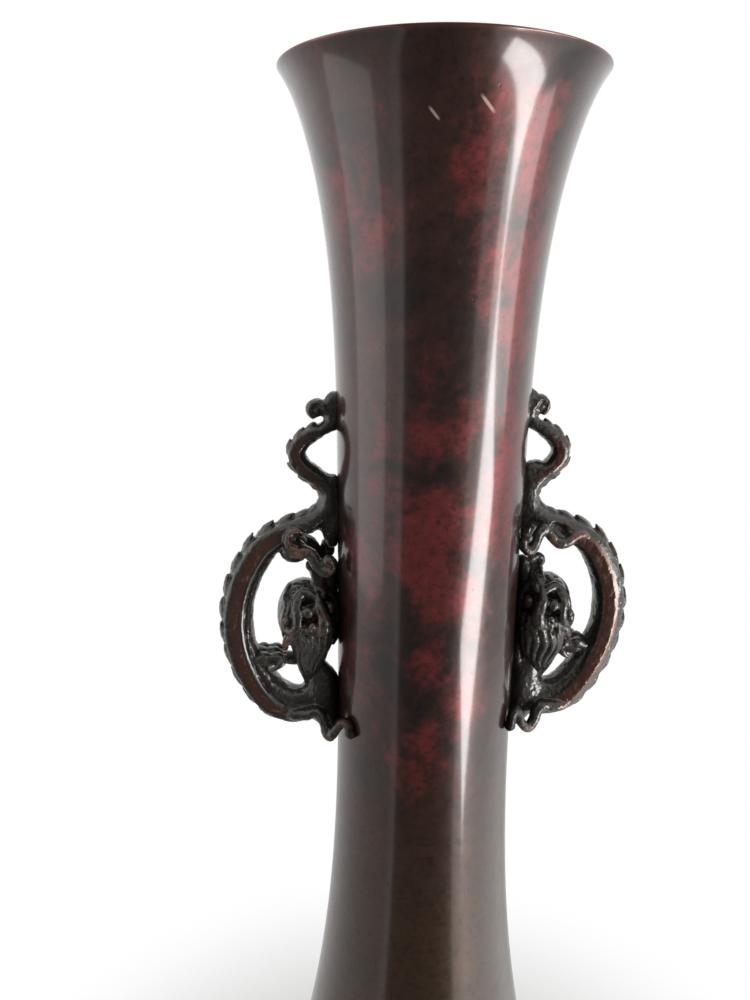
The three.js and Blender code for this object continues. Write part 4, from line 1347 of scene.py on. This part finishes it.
def stage_floor():
    floor_bm = bmesh.new()
    bmesh.ops.create_circle(floor_bm, cap_ends=True, segments=64, radius=FLOOR_RADIUS)
    floor = bpy.data.objects.new("floor", mesh_of(floor_bm, "floor"))
    bpy.context.scene.collection.objects.link(floor)
    material, tree, shader = new_material("matt_white_paper")
    feed(tree, shader, {"Base Color": colour("#f4f4f2"), "Roughness": 0.9})
    # The paper fades into the backdrop beyond the vase's shadow
    place = add(tree, "TexCoord").outputs["Object"]
    away = add(tree, "VectorMath", {0: place}, operation="LENGTH").outputs["Value"]
    fade = add(
        tree, "MapRange", {"Value": away, "From Min": FADES_FROM, "From Max": FADES_TO},
        interpolation_type="SMOOTHSTEP",
    ).outputs[0]
    clear = add(tree, "BsdfTransparent")
    mix = add(tree, "MixShader", {0: fade, 1: shader.outputs[0], 2: clear.outputs[0]})
    output = next(n for n in tree.nodes if n.type == "OUTPUT_MATERIAL")
    tree.links.new(mix.outputs[0], output.inputs["Surface"])
    floor.data.materials.append(material)


# The two ways from the vase that its gloss shows most: towards the dark room in front and to the right
FRONT_AZIMUTH = math.radians(-98.8 + 5)
TO_FRONT = (math.cos(FRONT_AZIMUTH), math.sin(FRONT_AZIMUTH), 0)
TO_RIGHT = (0.94, -0.34, 0)


def white_studio():
    """A world that the camera sees as white. The vase's gloss sees a dark room in front, white overhead
    and pale walls that differ a little with the direction."""
    world = bpy.data.worlds.new("white_studio")
    bpy.context.scene.world = world
    world.use_nodes = True
    tree = world.node_tree
    tree.nodes.clear()
    toward = add(tree, "TexCoord").outputs["Generated"]
    height = add(tree, "SeparateXYZ", {0: toward}).outputs["Z"]
    level = add(tree, "VectorMath", {0: toward, 1: (1, 1, 0)}, operation="MULTIPLY").outputs[0]
    flat = add(tree, "VectorMath", {0: level}, operation="NORMALIZE").outputs[0]
    facing, right = (
        add(tree, "VectorMath", {0: flat, 1: way}, operation="DOT_PRODUCT").outputs["Value"]
        for way in (TO_FRONT, TO_RIGHT)
    )
    # Each runs from one value to the next of what it reads, between two strengths
    room, overhead, below, table, sunken, rise, dip = (
        add(
            tree, "MapRange", {0: value, 1: start, 2: end, 3: first, 4: last},
            interpolation_type=kind,
        ).outputs[0]
        for value, start, end, first, last, kind in (
            (facing, 0.76, 0.81, 1.0, 0.1, "SMOOTHSTEP"),
            (height, 0.35, 0.75, 0, 1, "LINEAR"),
            (height, -0.55, -0.15, 0.54, 0.88, "LINEAR"),
            (right, 0.45, 1.0, 0, 0.8, "LINEAR"),
            (height, -0.5, -0.4, 1, 0, "LINEAR"),
            (facing, 0.66, 0.75, 0, 0.25, "LINEAR"),
            (facing, -0.6, 0.5, 0, -0.19, "LINEAR"),
        )
    )
    walls = add(tree, "Math", {0: table, 1: sunken, 2: below}, operation="MULTIPLY_ADD").outputs[0]
    shift = add(tree, "Math", {0: rise, 1: dip}, operation="ADD").outputs[0]
    walls = add(tree, "Math", {0: walls, 1: shift}, operation="ADD").outputs[0]
    beside = add(tree, "Math", {0: room, 1: walls}, operation="MULTIPLY").outputs[0]
    mirrored = add(tree, "Math", {0: beside, 1: overhead}, operation="MAXIMUM").outputs[0]
    rays = add(tree, "LightPath").outputs
    through_to = {0: rays["Is Camera Ray"], 1: rays["Is Transmission Ray"]}
    seen = add(tree, "Math", through_to, operation="MAXIMUM").outputs[0]
    strength = 0.55  # what lights the matt part of a surface
    for mask, over in ((rays["Is Glossy Ray"], mirrored), (seen, 1.0)):
        strength = add(tree, "Mix", {0: mask, 2: strength, 3: over}, data_type="FLOAT").outputs[0]
    background = add(tree, "Background", {"Color": (1, 1, 1, 1), "Strength": strength})
    output = add(tree, "OutputWorld")
    tree.links.new(background.outputs[0], output.inputs["Surface"])


# A tall window on the right that leans back, a wide pale wall above it and a fill from the left:
# [name, place, direction of the long side, width, length, power]
LAMPS = [
    ("window", (0.775, -0.57, 0.005), (0.43, 0.33, 0.53), 0.29, 0.6, 7.0),
    ("wall", (0.98, -0.42, 0.36), (0, 0, 1), 0.62, 0.34, 2.2),
    ("fill", (-1.19, -0.13, 0.45), (0, 0, 1), 0.9, 1.2, 3.0),
]
LIT = Vector((0, 0, 0.33))  # the place that every lamp faces


def soft_boxes():
    for name, where, long_side, wide, tall, power in LAMPS:
        lamp = bpy.data.lights.new(name, "AREA")
        lamp.shape = "RECTANGLE"
        lamp.size = wide
        lamp.size_y = tall
        lamp.energy = power
        light = bpy.data.objects.new(name, lamp)
        back = (Vector(where) - LIT).normalized()
        across = Vector(long_side).cross(back).normalized()
        turn = Matrix((across, back.cross(across), back)).transposed().to_4x4()
        light.matrix_world = Matrix.Translation(where) @ turn
        bpy.context.scene.collection.objects.link(light)


# The camera's lens and its sensor's longer side in millimetres, its place, view and tilt in radians
LENS, SENSOR = 30.24, 36
CAMERA_PLACE = (-0.0468, -0.3010, 0.4412)
CAMERA_VIEW = (0.0845, 0.9653, -0.2471)
CAMERA_TILT = 0.0142


def viewpoint():
    camera_data = bpy.data.cameras.new("camera")
    camera_data.sensor_width = SENSOR
    camera_data.lens = LENS
    camera_data.clip_start = 0.01
    camera = bpy.data.objects.new("camera", camera_data)
    camera.location = CAMERA_PLACE
    turn = Vector(CAMERA_VIEW).to_track_quat("-Z", "Y").to_matrix()
    camera.rotation_euler = (turn @ Matrix.Rotation(CAMERA_TILT, 3, "Z")).to_euler()
    bpy.context.scene.collection.objects.link(camera)
    bpy.context.scene.camera = camera
    bpy.context.scene.view_settings.view_transform = "Standard"


stage_floor()
white_studio()
soft_boxes()
viewpoint()
